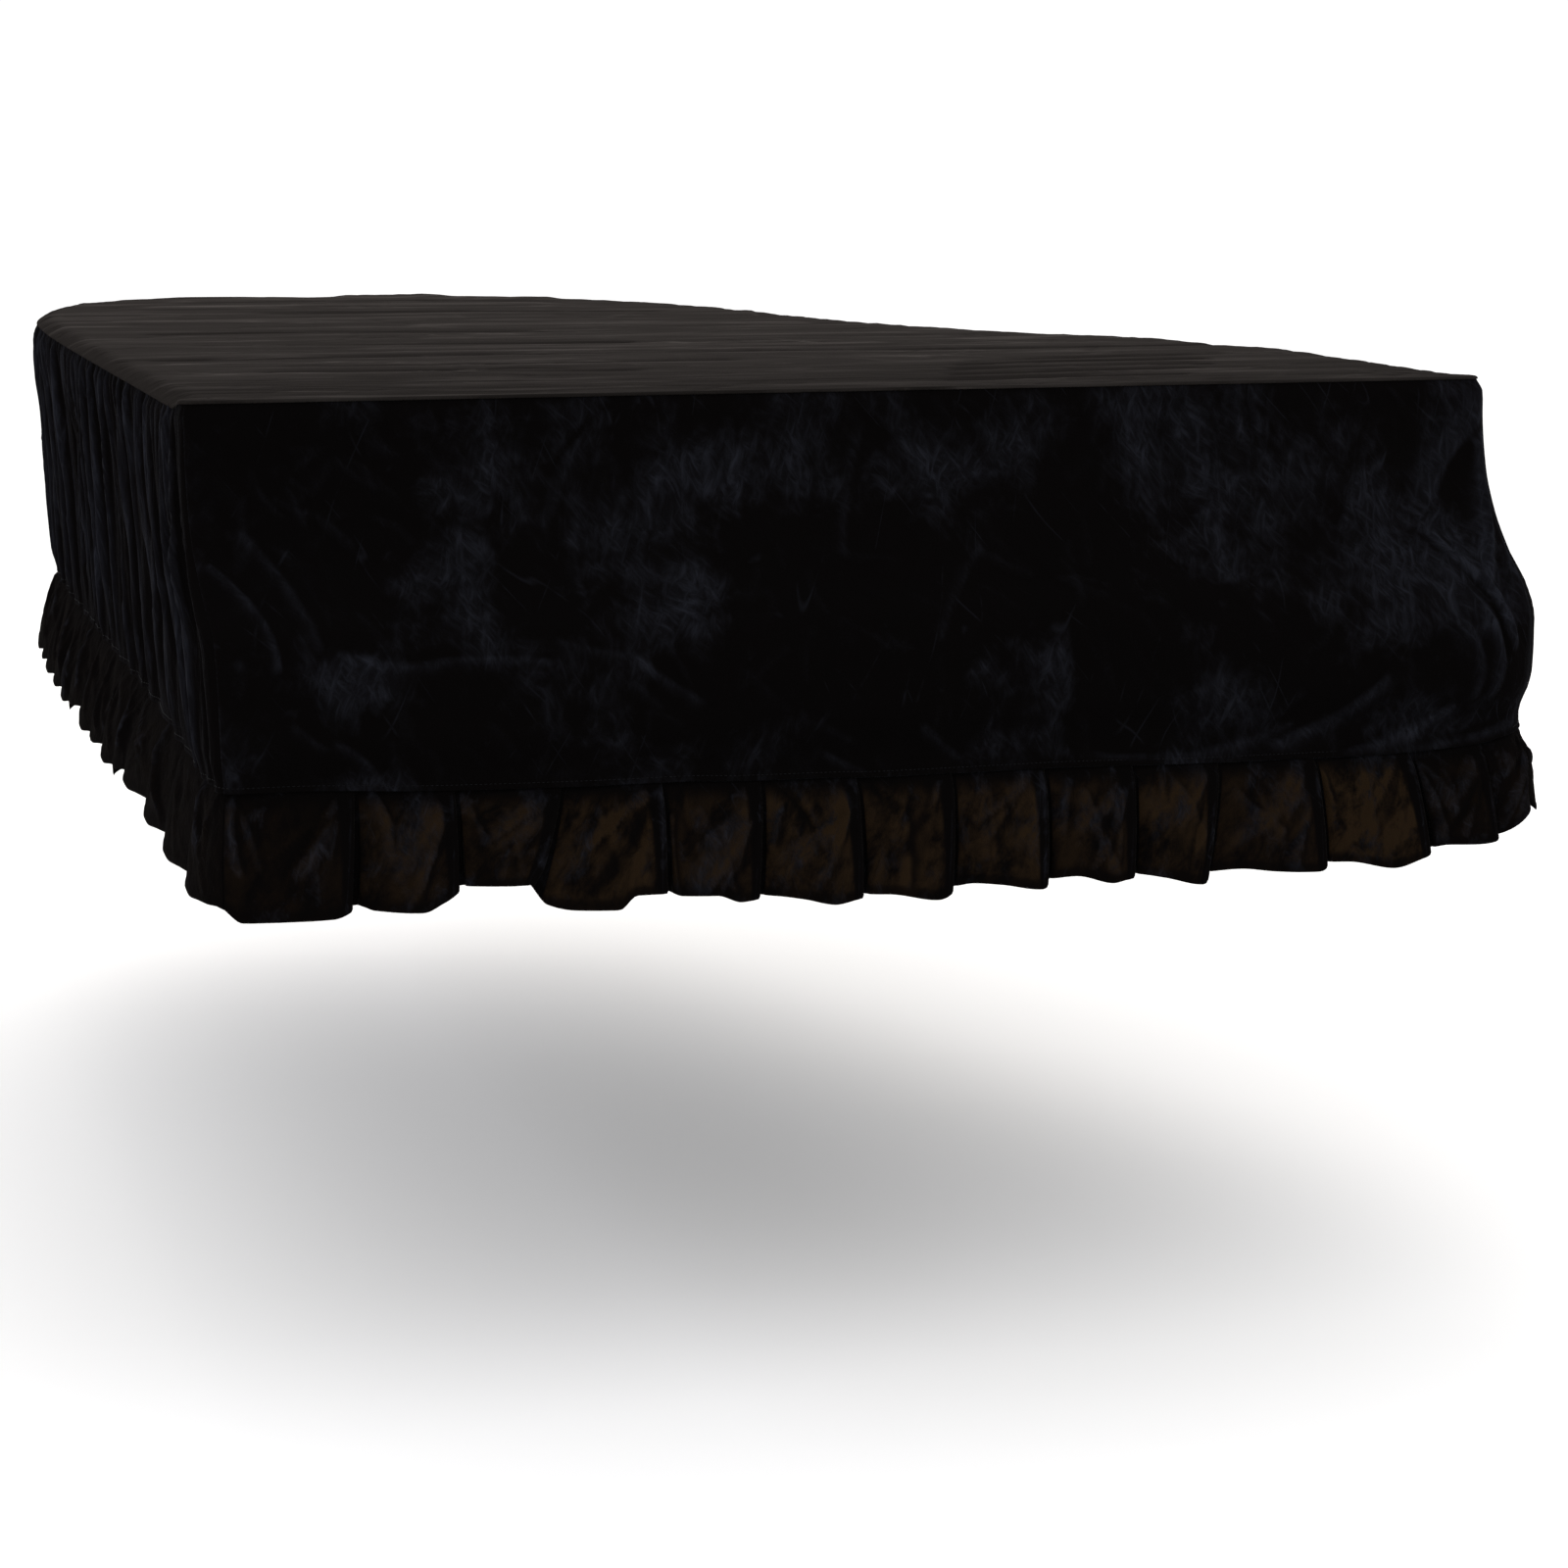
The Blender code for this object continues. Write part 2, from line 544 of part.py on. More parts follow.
def top_ring(places, inward):
    """A ring of the top's middle layer, in from its edge; at a front corner it draws in to one point."""
    x, y = outline(places, 0.0 * places)
    nx, ny = outward(places, 0.0 * places)
    ring_x, ring_y = x - nx * inward, y - ny * inward
    share = inward / CORNER_ZONE
    for corner_place, sign in ((0.0, -1), (WIDTH, 1)):
        from_corner = np.abs(np.mod(places - corner_place + ROUND / 2, ROUND) - ROUND / 2)
        near = from_corner < CORNER_ZONE / 2 - SEAM_GAP
        centre_x, centre_y = sign * (WIDTH / 2 - CORNER_ZONE), FRONT_Y + CORNER_ZONE
        ring_x = np.where(near, x + (centre_x - x) * share, ring_x)
        ring_y = np.where(near, y + (centre_y - y) * share, ring_y)
    return np.stack([ring_x, ring_y, top_height(ring_x, ring_y, inward, places)], -1)


def make_top():
    """The top panel: rings that follow its rolled edge, filled with a net of triangles."""
    places = top_places()
    grid = np.array([top_ring(places, inward) for inward in TOP_RINGS])
    normal = -grid_normals(np.concatenate([grid[:, -1:], grid, grid[:, :1]], 1))[:, 1:-1]
    normal *= np.sign(normal[:, :, 2:3])
    nx, ny = outward(places, 0.0 * places)
    normal[0] = np.stack([nx, ny, 0.0 * nx], -1)

    count = len(places)
    net_points, net_triangles = fill_inside(grid[-1])
    extra = np.array(net_points[count:]).reshape(-1, 3)
    outer = np.concatenate([(grid + normal * CLOTH / 2).reshape(-1, 3), extra + (0, 0, CLOTH / 2)])
    inner = np.concatenate([(grid - normal * CLOTH / 2).reshape(-1, 3), extra - (0, 0, CLOTH / 2)])
    under = len(outer)
    last_ring = (len(TOP_RINGS) - 1) * count
    faces = []
    for number in range(count):
        after = (number + 1) % count
        faces.append((after, number, under + number, under + after))
        for ring_start in range(0, last_ring, count):
            a, b = ring_start + number, ring_start + after
            c, d = b + count, a + count
            faces.append((a, b, c, d))
            faces.append((under + a, under + d, under + c, under + b))
    for a, b, c in (last_ring + np.array(triangle) for triangle in net_triangles):
        faces.append((a, b, c))
        faces.append((under + a, under + c, under + b))
    return cloth_object("top_panel", np.concatenate([outer, inner]), faces)


def fill_inside(ring):
    """Fills the last ring of the top with an even net, and gives its points and anticlockwise triangles."""
    flat = [Vector((point[0], point[1])) for point in ring]
    rows = list(np.arange(FRONT_Y, FRONT_Y + max(y for x, y in OUTLINE), TOP_GRID))
    rows += [FRONT_Y + CROSS_LINE_Y + shift for shift in TOP_ROWS_AT_CROSS_LINE]
    for y in rows:
        for x in np.arange(-WIDTH / 2, WIDTH / 2, TOP_GRID):
            if distance_inside(x, y, ring) > TOP_GRID_CLEAR_OF_RINGS:
                flat.append(Vector((x, y)))
    count = len(ring)
    edges = [(number, (number + 1) % count) for number in range(count)]
    found = geometry.delaunay_2d_cdt(flat, edges, [], 1, 1e-6)
    points = [(point.x, point.y, float(top_height(point.x, point.y, 1.0, ROUND / 2))) for point in found[0]]
    return points, found[2]


def distance_inside(x, y, ring):
    """How far a point lies inside a ring of points, or a negative number outside it."""
    inside = False
    nearest = math.inf
    for a, b in zip(ring, np.roll(ring, -1, axis=0)):
        if (a[1] > y) != (b[1] > y) and x < a[0] + (y - a[1]) * (b[0] - a[0]) / (b[1] - a[1]):
            inside = not inside
        edge = b[:2] - a[:2]
        share = np.clip(np.dot((x, y) - a[:2], edge) / np.dot(edge, edge), 0.0, 1.0)
        nearest = min(nearest, math.hypot(*(a[:2] + edge * share - (x, y))))
    return nearest if inside else -nearest


def clear_scene():
    """Removes the objects that Blender starts with."""
    for old in list(bpy.data.objects):
        bpy.data.objects.remove(old, do_unlink=True)


def main():
    """Builds the cover."""
    clear_scene()
    make_top()
    make_front_panel()
    sides = (("right", WIDTH, BENT_START, CORNER_ROWS), ("bentside", BENT_START, TAIL_START, SIDE_ROWS),
             ("tail", TAIL_START, LEFT_START, SIDE_ROWS), ("left", LEFT_START, ROUND, CORNER_ROWS))
    for side, start, end, rows in sides:
        make_skirt(side + "_skirt", start, end, rows)
        make_ruffle(side + "_ruffle", side_pleat_columns(start, end))
    make_ruffle("front_ruffle", front_pleat_columns())


main()
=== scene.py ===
"""Dresses a fitted grand piano cover in crushed velvet, laid out as a Blender add-on.

Metres, +Z up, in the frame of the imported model: the origin is on the underside of the top panel, +X runs
along the front edge to its right end and +Y from the front edge to the tail.
"""
import math

import bpy
import numpy as np
from bpy.props import FloatProperty, FloatVectorProperty, PointerProperty
from mathutils import Matrix, Vector, geometry


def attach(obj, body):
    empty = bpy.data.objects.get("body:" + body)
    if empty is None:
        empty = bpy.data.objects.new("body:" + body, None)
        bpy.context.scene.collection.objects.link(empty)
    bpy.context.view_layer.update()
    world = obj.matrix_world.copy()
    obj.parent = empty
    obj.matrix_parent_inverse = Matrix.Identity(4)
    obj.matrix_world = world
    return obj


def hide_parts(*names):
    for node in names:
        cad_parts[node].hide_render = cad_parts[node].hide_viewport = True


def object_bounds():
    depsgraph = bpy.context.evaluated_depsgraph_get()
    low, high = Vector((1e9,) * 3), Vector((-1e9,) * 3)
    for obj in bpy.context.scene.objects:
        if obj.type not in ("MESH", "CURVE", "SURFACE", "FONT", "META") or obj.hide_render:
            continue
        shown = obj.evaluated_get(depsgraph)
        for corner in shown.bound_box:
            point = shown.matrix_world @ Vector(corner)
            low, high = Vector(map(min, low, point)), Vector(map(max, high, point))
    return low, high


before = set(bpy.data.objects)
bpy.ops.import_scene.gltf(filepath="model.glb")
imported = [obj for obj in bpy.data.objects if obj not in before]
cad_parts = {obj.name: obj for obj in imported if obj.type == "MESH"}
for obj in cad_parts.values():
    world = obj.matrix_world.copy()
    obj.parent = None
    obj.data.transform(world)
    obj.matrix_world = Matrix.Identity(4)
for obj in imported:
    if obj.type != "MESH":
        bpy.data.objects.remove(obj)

CAD_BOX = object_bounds()

bl_info = {
    "name": "Grand piano cover",
    "version": (1, 0, 0),
    "blender": (4, 5, 0),
    "location": "View3D > Sidebar > Piano cover",
    "description": "Crushed velvet cloth, gathers, pleats and sewing of a fitted grand piano cover",
    "category": "Object",
}

# The whole cover, as the solids have it
WIDTH = 1.496
FRONT_Y = -0.75
SEAM_GAP = 0.0005
EDGE_TURN = 0.012
EDGE_ROLL = 0.026
FRONT_TURN = 0.003
FRONT_ROLL = 0.005
CORNER_ZONE = 0.060
CROSS_LINE_Y = 0.56
CROSS_LINE_STEP = 0.004
CROSS_LINE_WIDTH = 0.012

# The outline of the top behind its right front corner, as (x, y from the front edge), anticlockwise
OUTLINE = (
    (0.748, 0.000), (0.746, 0.400), (0.715, 0.560), (0.655, 0.690), (0.560, 0.820), (0.455, 0.970),
    (0.385, 1.130), (0.345, 1.320), (0.300, 1.500), (0.205, 1.670), (0.050, 1.775), (-0.150, 1.825),
    (-0.330, 1.865), (-0.470, 1.865), (-0.590, 1.800), (-0.680, 1.660), (-0.728, 1.480), (-0.745, 1.280),
    (-0.748, 0.000),
)

# How far the cloth reaches forward of the top's front edge, at the left end, the middle and the right end
REACH_COLUMNS = ("depth", "left", "middle", "right")
REACH = (
    (0.000, 0.000, 0.000, 0.000),
    (0.050, 0.002, 0.014, 0.006),
    (0.105, 0.012, 0.044, 0.022),
    (0.150, 0.038, 0.076, 0.050),
    (0.190, 0.088, 0.108, 0.090),
    (0.225, 0.142, 0.142, 0.134),
    (0.262, 0.154, 0.156, 0.160),
    (0.315, 0.158, 0.158, 0.168),
    (0.372, 0.150, 0.150, 0.154),
    (0.420, 0.160, 0.160, 0.168),
    (0.500, 0.172, 0.170, 0.180),
    (0.560, 0.170, 0.166, 0.174),
)
REACH_END_POWER = 3
REACH_FADES_OVER = 0.48

# How round the two front corners are and how far the cloth swells outwards, going down: all round the cover,
# and more at its right front corner; behind the front it leans in
CORNER_COLUMNS = ("depth", "left_radius", "right_radius", "swell", "right_swell", "lean")
CORNERS = (
    (0.000, 0.012, 0.016, 0.000, 0.000, 0.000),
    (0.020, 0.012, 0.018, 0.000, 0.006, 0.001),
    (0.120, 0.014, 0.030, 0.000, 0.007, 0.010),
    (0.230, 0.024, 0.060, 0.001, 0.010, 0.018),
    (0.320, 0.026, 0.080, 0.000, 0.014, 0.019),
    (0.372, 0.026, 0.080, -0.006, 0.016, 0.012),
    (0.440, 0.028, 0.110, 0.003, 0.024, 0.002),
    (0.520, 0.030, 0.130, 0.008, 0.026, 0.002),
)
RIGHT_SWELL_FROM_X = 0.45

# The heights of the seam above the ruffle and of the ruffle's hem along the front, as (x, z): the hem hangs
# lowest at each pleat's fold edge and steps up past it
FRONT_SEAM = (
    (-0.748, -0.3710), (-0.670, -0.3720), (-0.610, -0.3750), (-0.550, -0.3790), (-0.470, -0.3820),
    (-0.350, -0.3850), (-0.260, -0.3860), (-0.200, -0.3890), (-0.110, -0.3910), (-0.040, -0.3935),
    (0.064, -0.3945), (0.140, -0.3950), (0.240, -0.3975), (0.330, -0.4000), (0.440, -0.4015),
    (0.530, -0.4020), (0.590, -0.3995), (0.655, -0.3950), (0.700, -0.3900), (0.748, -0.3860),
)
FRONT_HEM = (
    (-0.748, -0.4820), (-0.728, -0.4945), (-0.640, -0.4937), (-0.612, -0.4860), (-0.596, -0.4910),
    (-0.550, -0.4945), (-0.528, -0.4855), (-0.503, -0.4740), (-0.440, -0.4740), (-0.418, -0.4990),
    (-0.390, -0.5055), (-0.346, -0.5068), (-0.327, -0.4925), (-0.296, -0.4930), (-0.274, -0.4998),
    (-0.240, -0.5000), (-0.215, -0.5075), (-0.196, -0.5060), (-0.174, -0.5070), (-0.145, -0.5110),
    (-0.110, -0.5180), (-0.081, -0.5135), (-0.050, -0.5135), (0.005, -0.5212), (0.026, -0.5140),
    (0.048, -0.5090), (0.078, -0.5112), (0.124, -0.5182), (0.144, -0.5115), (0.168, -0.5090),
    (0.208, -0.5176), (0.224, -0.5148), (0.242, -0.5136), (0.270, -0.5172), (0.316, -0.5265),
    (0.332, -0.5175), (0.365, -0.5148), (0.405, -0.5190), (0.456, -0.5218), (0.476, -0.5162),
    (0.498, -0.5155), (0.546, -0.5227), (0.580, -0.5120), (0.614, -0.5003), (0.655, -0.4992),
    (0.690, -0.4930), (0.712, -0.4850), (0.730, -0.4740), (0.748, -0.4610),
)
# The same heights behind the front, by the share of the way round from the left front corner
HANG_COLUMNS = ("share", "seam_z", "hem_z")
HANG = (
    (0.249, -0.386, -0.461),
    (0.275, -0.382, -0.478),
    (0.330, -0.374, -0.480),
    (0.480, -0.366, -0.468),
    (0.640, -0.358, -0.460),
    (0.770, -0.362, -0.462),
    (0.900, -0.366, -0.464),
    (0.970, -0.370, -0.472),
    (1.000, -0.371, -0.482),
)

# The skirt's main gathers, and the finer ones between them
GATHER_PITCH = 0.074
GATHER_UNEVEN = 0.34
GATHER_DEPTH = 0.008
GATHER_DEPTH_UNEVEN = 0.45
GATHER_FADES_OVER = 0.035
GATHER_WANDER = 0.10
GATHER_WANDER_TURNS = 3.1
GATHER_WANDER_STEP = 1.7
GATHER_COLUMNS = ("share_down", "main", "middle", "fine")
GATHER = (
    (0.00, 0.10, 0.45, 0.75),
    (0.05, 0.34, 0.90, 1.00),
    (0.25, 0.80, 1.00, 0.80),
    (0.62, 1.00, 0.85, 0.45),
    (0.90, 0.75, 0.70, 0.25),
    (1.00, 0.30, 0.30, 0.15),
)

# Soft folds of the front panel: where each crosses the top edge, how it slants, how wide and how deep it is
FRONT_FOLD_COLUMNS = ("x", "slant", "width", "depth", "from_share", "to_share")
FRONT_FOLDS = (
    (-0.66, -0.05, 0.050, 0.005, 0.35, 0.75),
    (-0.46, 0.10, 0.070, 0.003, 0.10, 0.70),
    (-0.20, -0.08, 0.090, 0.003, 0.20, 0.95),
    (0.10, 0.06, 0.080, -0.003, 0.05, 0.80),
    (0.36, -0.10, 0.070, 0.003, 0.15, 0.90),
    (0.60, -0.16, 0.050, 0.006, 0.02, 0.55),
    (0.68, 0.05, 0.035, -0.005, 0.30, 0.80),
)

# The front panel's main creases: both ends as x and share of the drop, then how far the middle bows to the
# side, how wide the crease is and how high, or deep where it is negative
FRONT_CREASES = (
    (-0.732, 0.42, -0.682, 0.67, -0.012, 0.0032, 0.0022),
    (-0.696, 0.34, -0.640, 0.62, -0.010, 0.0043, 0.0013),
    (-0.620, 0.63, -0.520, 0.66, 0.004, 0.0036, 0.0012),
    (-0.538, 0.65, -0.405, 0.655, -0.004, 0.0032, 0.0017),
    (-0.400, 0.60, -0.330, 0.64, 0.003, 0.0036, 0.0012),
    (-0.326, 0.635, -0.248, 0.775, 0.003, 0.0036, 0.0017),
    (-0.258, 0.21, -0.292, 0.42, 0.003, 0.0030, 0.0013),
    (-0.350, 0.14, -0.388, 0.33, -0.004, 0.0032, 0.0012),
    (-0.348, 0.29, -0.362, 0.50, 0.005, 0.0032, 0.0011),
    (-0.628, 0.86, -0.577, 0.99, -0.005, 0.0036, 0.0016),
    (-0.670, 0.81, -0.636, 0.88, 0.002, 0.0032, 0.0010),
    (-0.432, 0.01, -0.425, 0.13, 0.003, 0.0032, 0.0010),
    (-0.304, 0.02, -0.376, 0.20, 0.004, 0.0036, -0.0010),
    (-0.171, 0.06, -0.178, 0.32, -0.003, 0.0036, 0.0011),
    (-0.022, 0.09, -0.070, 0.42, 0.006, 0.0036, 0.0010),
    (0.083, 0.42, 0.015, 0.63, 0.004, 0.0036, 0.0009),
    (0.432, 0.00, 0.436, 0.17, 0.003, 0.0030, 0.0014),
    (0.444, 0.01, 0.450, 0.15, 0.003, 0.0030, -0.0010),
    (0.598, 0.16, 0.528, 0.40, 0.003, 0.0030, 0.0014),
    (0.588, 0.20, 0.520, 0.38, 0.003, 0.0030, -0.0009),
    (0.742, 0.08, 0.655, 0.32, 0.006, 0.0094, 0.0054),
    (0.742, 0.16, 0.690, 0.55, -0.014, 0.0072, 0.0058),
    (0.628, 0.41, 0.700, 0.75, -0.010, 0.0043, -0.0032),
    (0.640, 0.42, 0.712, 0.73, -0.010, 0.0040, 0.0032),
    (0.648, 0.46, 0.700, 0.59, 0.003, 0.0036, 0.0023),
    (0.668, 0.61, 0.676, 0.86, -0.016, 0.0047, 0.0032),
    (0.640, 0.64, 0.655, 0.86, -0.012, 0.0043, 0.0019),
    (0.500, 0.995, 0.725, 0.955, 0.008, 0.0050, 0.0032),
    (0.415, 0.96, 0.545, 0.78, 0.010, 0.0054, 0.0030),
    (0.510, 0.985, 0.630, 0.88, 0.008, 0.0050, 0.0032),
    (0.330, 0.97, 0.440, 0.90, 0.004, 0.0043, 0.0016),
    (0.200, 0.97, 0.330, 0.975, 0.003, 0.0036, 0.0014),
    (-0.110, 0.93, -0.060, 0.99, 0.002, 0.0032, 0.0013),
    (0.000, 0.86, 0.045, 0.96, 0.002, 0.0032, 0.0012),
)
# Patches of the front panel, brushed-up pile with painted light, or pressed-flat pile with painted shade
# where
# the last value is negative: x, the share of the drop, half their width and half their height in shares, and
# how strongly
LISTED_PILE_AND_LIGHT_PATCHES = (
    (-0.457, 0.17, 0.050, 0.15, 0.8), (-0.457, 0.66, 0.050, 0.22, 0.5), (-0.199, 0.20, 0.055, 0.13, 0.7),
    (-0.268, 0.46, 0.050, 0.20, 0.9), (-0.270, 0.88, 0.060, 0.10, 0.6), (-0.606, 0.70, 0.040, 0.07, 0.8),
    (0.035, 0.18, 0.050, 0.14, 0.6), (0.170, 0.15, 0.040, 0.10, 0.5), (0.416, 0.17, 0.130, 0.17, 0.9),
    (0.330, 0.82, 0.100, 0.08, 0.7), (0.639, 0.60, 0.110, 0.26, 0.9), (0.500, 0.90, 0.120, 0.08, 0.6),
    (-0.640, 0.30, 0.090, 0.25, -0.8), (-0.060, 0.55, 0.140, 0.22, -0.8), (0.250, 0.56, 0.130, 0.20, -0.6),
    (-0.080, 0.82, 0.180, 0.14, -0.7), (0.470, 0.44, 0.070, 0.10, -0.5), (-0.560, 0.88, 0.130, 0.08, -0.7),
)
# Long soft wrinkles across the top: both ends as x and y from the front edge, then the same three values
TOP_CREASES = (
    (0.215, 0.285, 0.560, 0.315, 0.010, 0.010, -0.0040),
    (0.180, 0.215, 0.520, 0.245, 0.008, 0.010, -0.0036),
    (0.150, 0.155, 0.470, 0.175, 0.006, 0.009, -0.0034),
    (0.250, 0.345, 0.620, 0.385, 0.008, 0.010, -0.0026),
    (0.120, 0.100, 0.430, 0.112, 0.004, 0.008, -0.0024),
    (-0.600, 0.335, -0.180, 0.300, 0.010, 0.014, -0.0018),
    (-0.560, 0.430, -0.020, 0.420, -0.008, 0.012, -0.0016),
    (-0.690, 0.585, 0.120, 0.590, 0.004, 0.008, 0.0020),
    (-0.420, 0.660, 0.260, 0.652, 0.006, 0.012, 0.0020),
    (-0.610, 0.760, -0.060, 0.742, 0.010, 0.013, -0.0018),
    (-0.300, 0.860, 0.380, 0.830, -0.010, 0.014, 0.0018),
    (-0.640, 0.980, -0.120, 0.960, 0.010, 0.014, -0.0020),
    (-0.260, 1.090, 0.300, 1.060, 0.012, 0.015, 0.0022),
    (-0.650, 1.230, -0.160, 1.250, -0.010, 0.016, 0.0024),
    (-0.420, 1.400, 0.180, 1.380, 0.010, 0.016, -0.0024),
    (-0.560, 1.560, 0.060, 1.590, -0.012, 0.017, 0.0030),
    (-0.500, 1.700, -0.080, 1.720, 0.012, 0.016, 0.0045),
    (-0.240, 1.770, 0.100, 1.690, -0.008, 0.014, 0.0050),
)

# The ruffle's pleats along the front: where each fold edge stands at the seam and at the hem, and how warm
# the light shines through the panel that ends there
PLEAT_COLUMNS = ("seam_x", "hem_x", "glow")
FRONT_PLEATS = (
    (-0.609, -0.622, 0.20), (-0.507, -0.513, 0.45), (-0.396, -0.436, 0.45), (-0.289, -0.295, 0.85),
    (-0.182, -0.196, 0.45), (-0.076, -0.081, 0.80), (0.032, 0.020, 0.85), (0.139, 0.130, 0.75),
    (0.243, 0.232, 0.50), (0.346, 0.320, 0.75), (0.463, 0.466, 0.45), (0.578, 0.588, 1.25),
    (0.665, 0.672, 0.15),
)
RIGHT_GLOW = 0.10
SIDE_GLOW = 0.03
PLEAT_PITCH = 0.104
PLEAT_UNEVEN = 0.13
HEM_UNEVEN = 0.008
HEM_LOBE = 0.010
RUFFLE_SET_IN = 0.004
# How wide the three folded layers past a fold edge are, at the seam and at the hem
FOLDED_AT_SEAM = 0.0145
FOLDED_AT_HEM = 0.0035

# One pleat's folded section: a share of the panel's width, a distance past that, and a height outwards, both
# at the seam and at the hem, then how low the hem hangs; the last row is the next fold edge
PLEAT_SECTION_COLUMNS = ("share", "past_seam", "out_seam", "past_hem", "out_hem", "lobe")
PLEAT_SECTION = (
    (0.00, 0.0020, 0.0080, 0.0060, 0.0170, 0.8),
    (0.22, 0.0000, 0.0076, 0.0000, 0.0165, 1.0),
    (0.50, 0.0000, 0.0060, 0.0000, 0.0115, 0.6),
    (0.78, 0.0000, 0.0035, 0.0000, 0.0040, 0.3),
    (1.00, -0.0060, 0.0010, -0.0120, -0.0030, 0.0),
    (1.00, 0.0120, 0.0005, -0.0010, -0.0070, 0.0),
    (1.00, 0.0145, 0.0023, 0.0035, -0.0040, 0.0),
    (1.00, 0.0120, 0.0042, 0.0030, 0.0010, 0.0),
    (1.00, 0.0020, 0.0042, 0.0000, 0.0080, 0.2),
    (1.00, -0.0005, 0.0061, 0.0000, 0.0140, 0.6),
    (1.00, 0.0020, 0.0080, 0.0060, 0.0170, 0.8),
)
FRONT_PANEL_STEPS = 36
SIDE_PANEL_STEPS = 22
UNDERFOLD_STEPS = 3

# Where each width of cloth ends, by the distance round the outline behind the right front corner
RIGHT_SIDE = 0.50
BENT_SIDE = 1.30
TAIL_SIDE = 1.36

# The camera, solved from the photograph: its place, its turn in degrees and its lens in millimetres
CAMERA_AT = (-1.210, -3.887, 0.2795)
CAMERA_YAW = 19.43
CAMERA_PITCH = 12.01
CAMERA_ROLL = -0.59
CAMERA_LENS = 71.3
CAMERA_SENSOR = 36.0
FLOOR_Z = -1.0285


def linear(code, strength=1.0):
    """A colour given as an sRGB hex code, turned to linear values with an opaque fourth one."""
    values = [int(code[start:start + 2], 16) / 255 for start in (1, 3, 5)]
    turned = [value / 12.92 if value <= 0.04045 else ((value + 0.055) / 1.055) ** 2.4 for value in values]
    return tuple(value * strength for value in turned) + (1.0,)


def uneven(number, seed=0.0):
    """A fixed, irregular value from -1 to 1 for each whole number."""
    return 2.0 * ((number * 0.618034 + seed + 0.31 * math.sin(number * 2.7 + seed * 5.0)) % 1.0) - 1.0


def smooth_step(value):
    """0 below 0, 1 above 1 and a smooth rise between."""
    share = np.clip(value, 0.0, 1.0)
    return share * share * (3.0 - 2.0 * share)


def table(rows, columns, column, by):
    """One column of a table, read along a smooth curve through its rows that never runs past them."""
    values = np.array(rows)
    at, level = values[:, 0], values[:, columns.index(column)]
    secant = np.diff(level) / np.diff(at)
    before, after = np.append(secant[:1], secant), np.append(secant, secant[-1:])
    same_way = before * after > 0
    slope = np.where(same_way, 2 * before * after / np.where(same_way, before + after, 1.0), 0.0)
    by = np.clip(by, at[0], at[-1])
    row = np.clip(np.searchsorted(at, by, side="right") - 1, 0, len(at) - 2)
    gap = at[row + 1] - at[row]
    t = (by - at[row]) / gap
    rise = (2 * t - 3) * t * t
    return (level[row] * (1 + rise) - level[row + 1] * rise
            + gap * t * (t - 1) * (slope[row] * (t - 1) + slope[row + 1] * t))


def noise(x, y, seed=0):
    """Smooth unevenness from about -1 to 1 over a plane, the same on every run."""
    column, row = np.floor(x).astype(np.int64), np.floor(y).astype(np.int64)
    total = np.zeros_like(x)
    for across in (0, 1):
        for up in (0, 1):
            mixed = (column + across) * 374761393 + (row + up) * 668265263 + seed * 974634777
            mixed = (mixed ^ (mixed >> 13)) * 1274126177 & 0xFFFFFFFF
            turn = (mixed ^ (mixed >> 16)) * (2 * math.pi / 0xFFFFFFFF)
            dx, dy = x - column - across, y - row - up
            ramp = np.cos(turn) * dx + np.sin(turn) * dy
            total += ramp * smooth_step(1.0 - np.abs(dx)) * smooth_step(1.0 - np.abs(dy))
    return 1.6 * total


def curve_through(points, steps=24):
    """Close points along a centripetal Catmull-Rom curve through the given ones."""
    given = [np.array(point, float) for point in points]
    given = [2 * given[0] - given[1]] + given + [2 * given[-1] - given[-2]]
    run = []
    for a, b, c, d in zip(given, given[1:], given[2:], given[3:]):
        t1 = math.sqrt(np.linalg.norm(b - a))
        t2 = t1 + math.sqrt(np.linalg.norm(c - b))
        t3 = t2 + math.sqrt(np.linalg.norm(d - c))
        for step in range(steps):
            t = t1 + (t2 - t1) * step / steps
            ab = a * (t1 - t) / t1 + b * t / t1
            bc = b * (t2 - t) / (t2 - t1) + c * (t - t1) / (t2 - t1)
            cd = c * (t3 - t) / (t3 - t2) + d * (t - t2) / (t3 - t2)
            abc = ab * (t2 - t) / t2 + bc * t / t2
            bcd = bc * (t3 - t) / (t3 - t1) + cd * (t - t1) / (t3 - t1)
            run.append(abc * (t2 - t) / (t2 - t1) + bcd * (t - t1) / (t2 - t1))
    run.append(given[-2])
    return np.array(run)


def measure_round(points):
    """The distance travelled at each point of a run."""
    return np.concatenate([[0.0], np.cumsum(np.linalg.norm(np.diff(points, axis=0), axis=1))])


# The loop round the cover starts at the left front corner and runs along the front first
BACK_RUN = curve_through(OUTLINE) + (0.0, FRONT_Y)
BACK_PLACES = WIDTH + measure_round(BACK_RUN)
ROUND = BACK_PLACES[-1]
BENT_START = WIDTH + RIGHT_SIDE
TAIL_START = BENT_START + BENT_SIDE
LEFT_START = TAIL_START + TAIL_SIDE
WIDTHS = (("front", 0.0, WIDTH), ("right", WIDTH, BENT_START), ("bentside", BENT_START, TAIL_START),
          ("tail", TAIL_START, LEFT_START), ("left", LEFT_START, ROUND))


def sharp_outline(place):
    """Points of the outline at distances round it, with sharp front corners."""
    place = np.mod(place, ROUND)
    on_front = place < WIDTH
    x = np.where(on_front, place - WIDTH / 2, np.interp(place, BACK_PLACES, BACK_RUN[:, 0]))
    y = np.where(on_front, FRONT_Y, np.interp(place, BACK_PLACES, BACK_RUN[:, 1]))
    return x, y


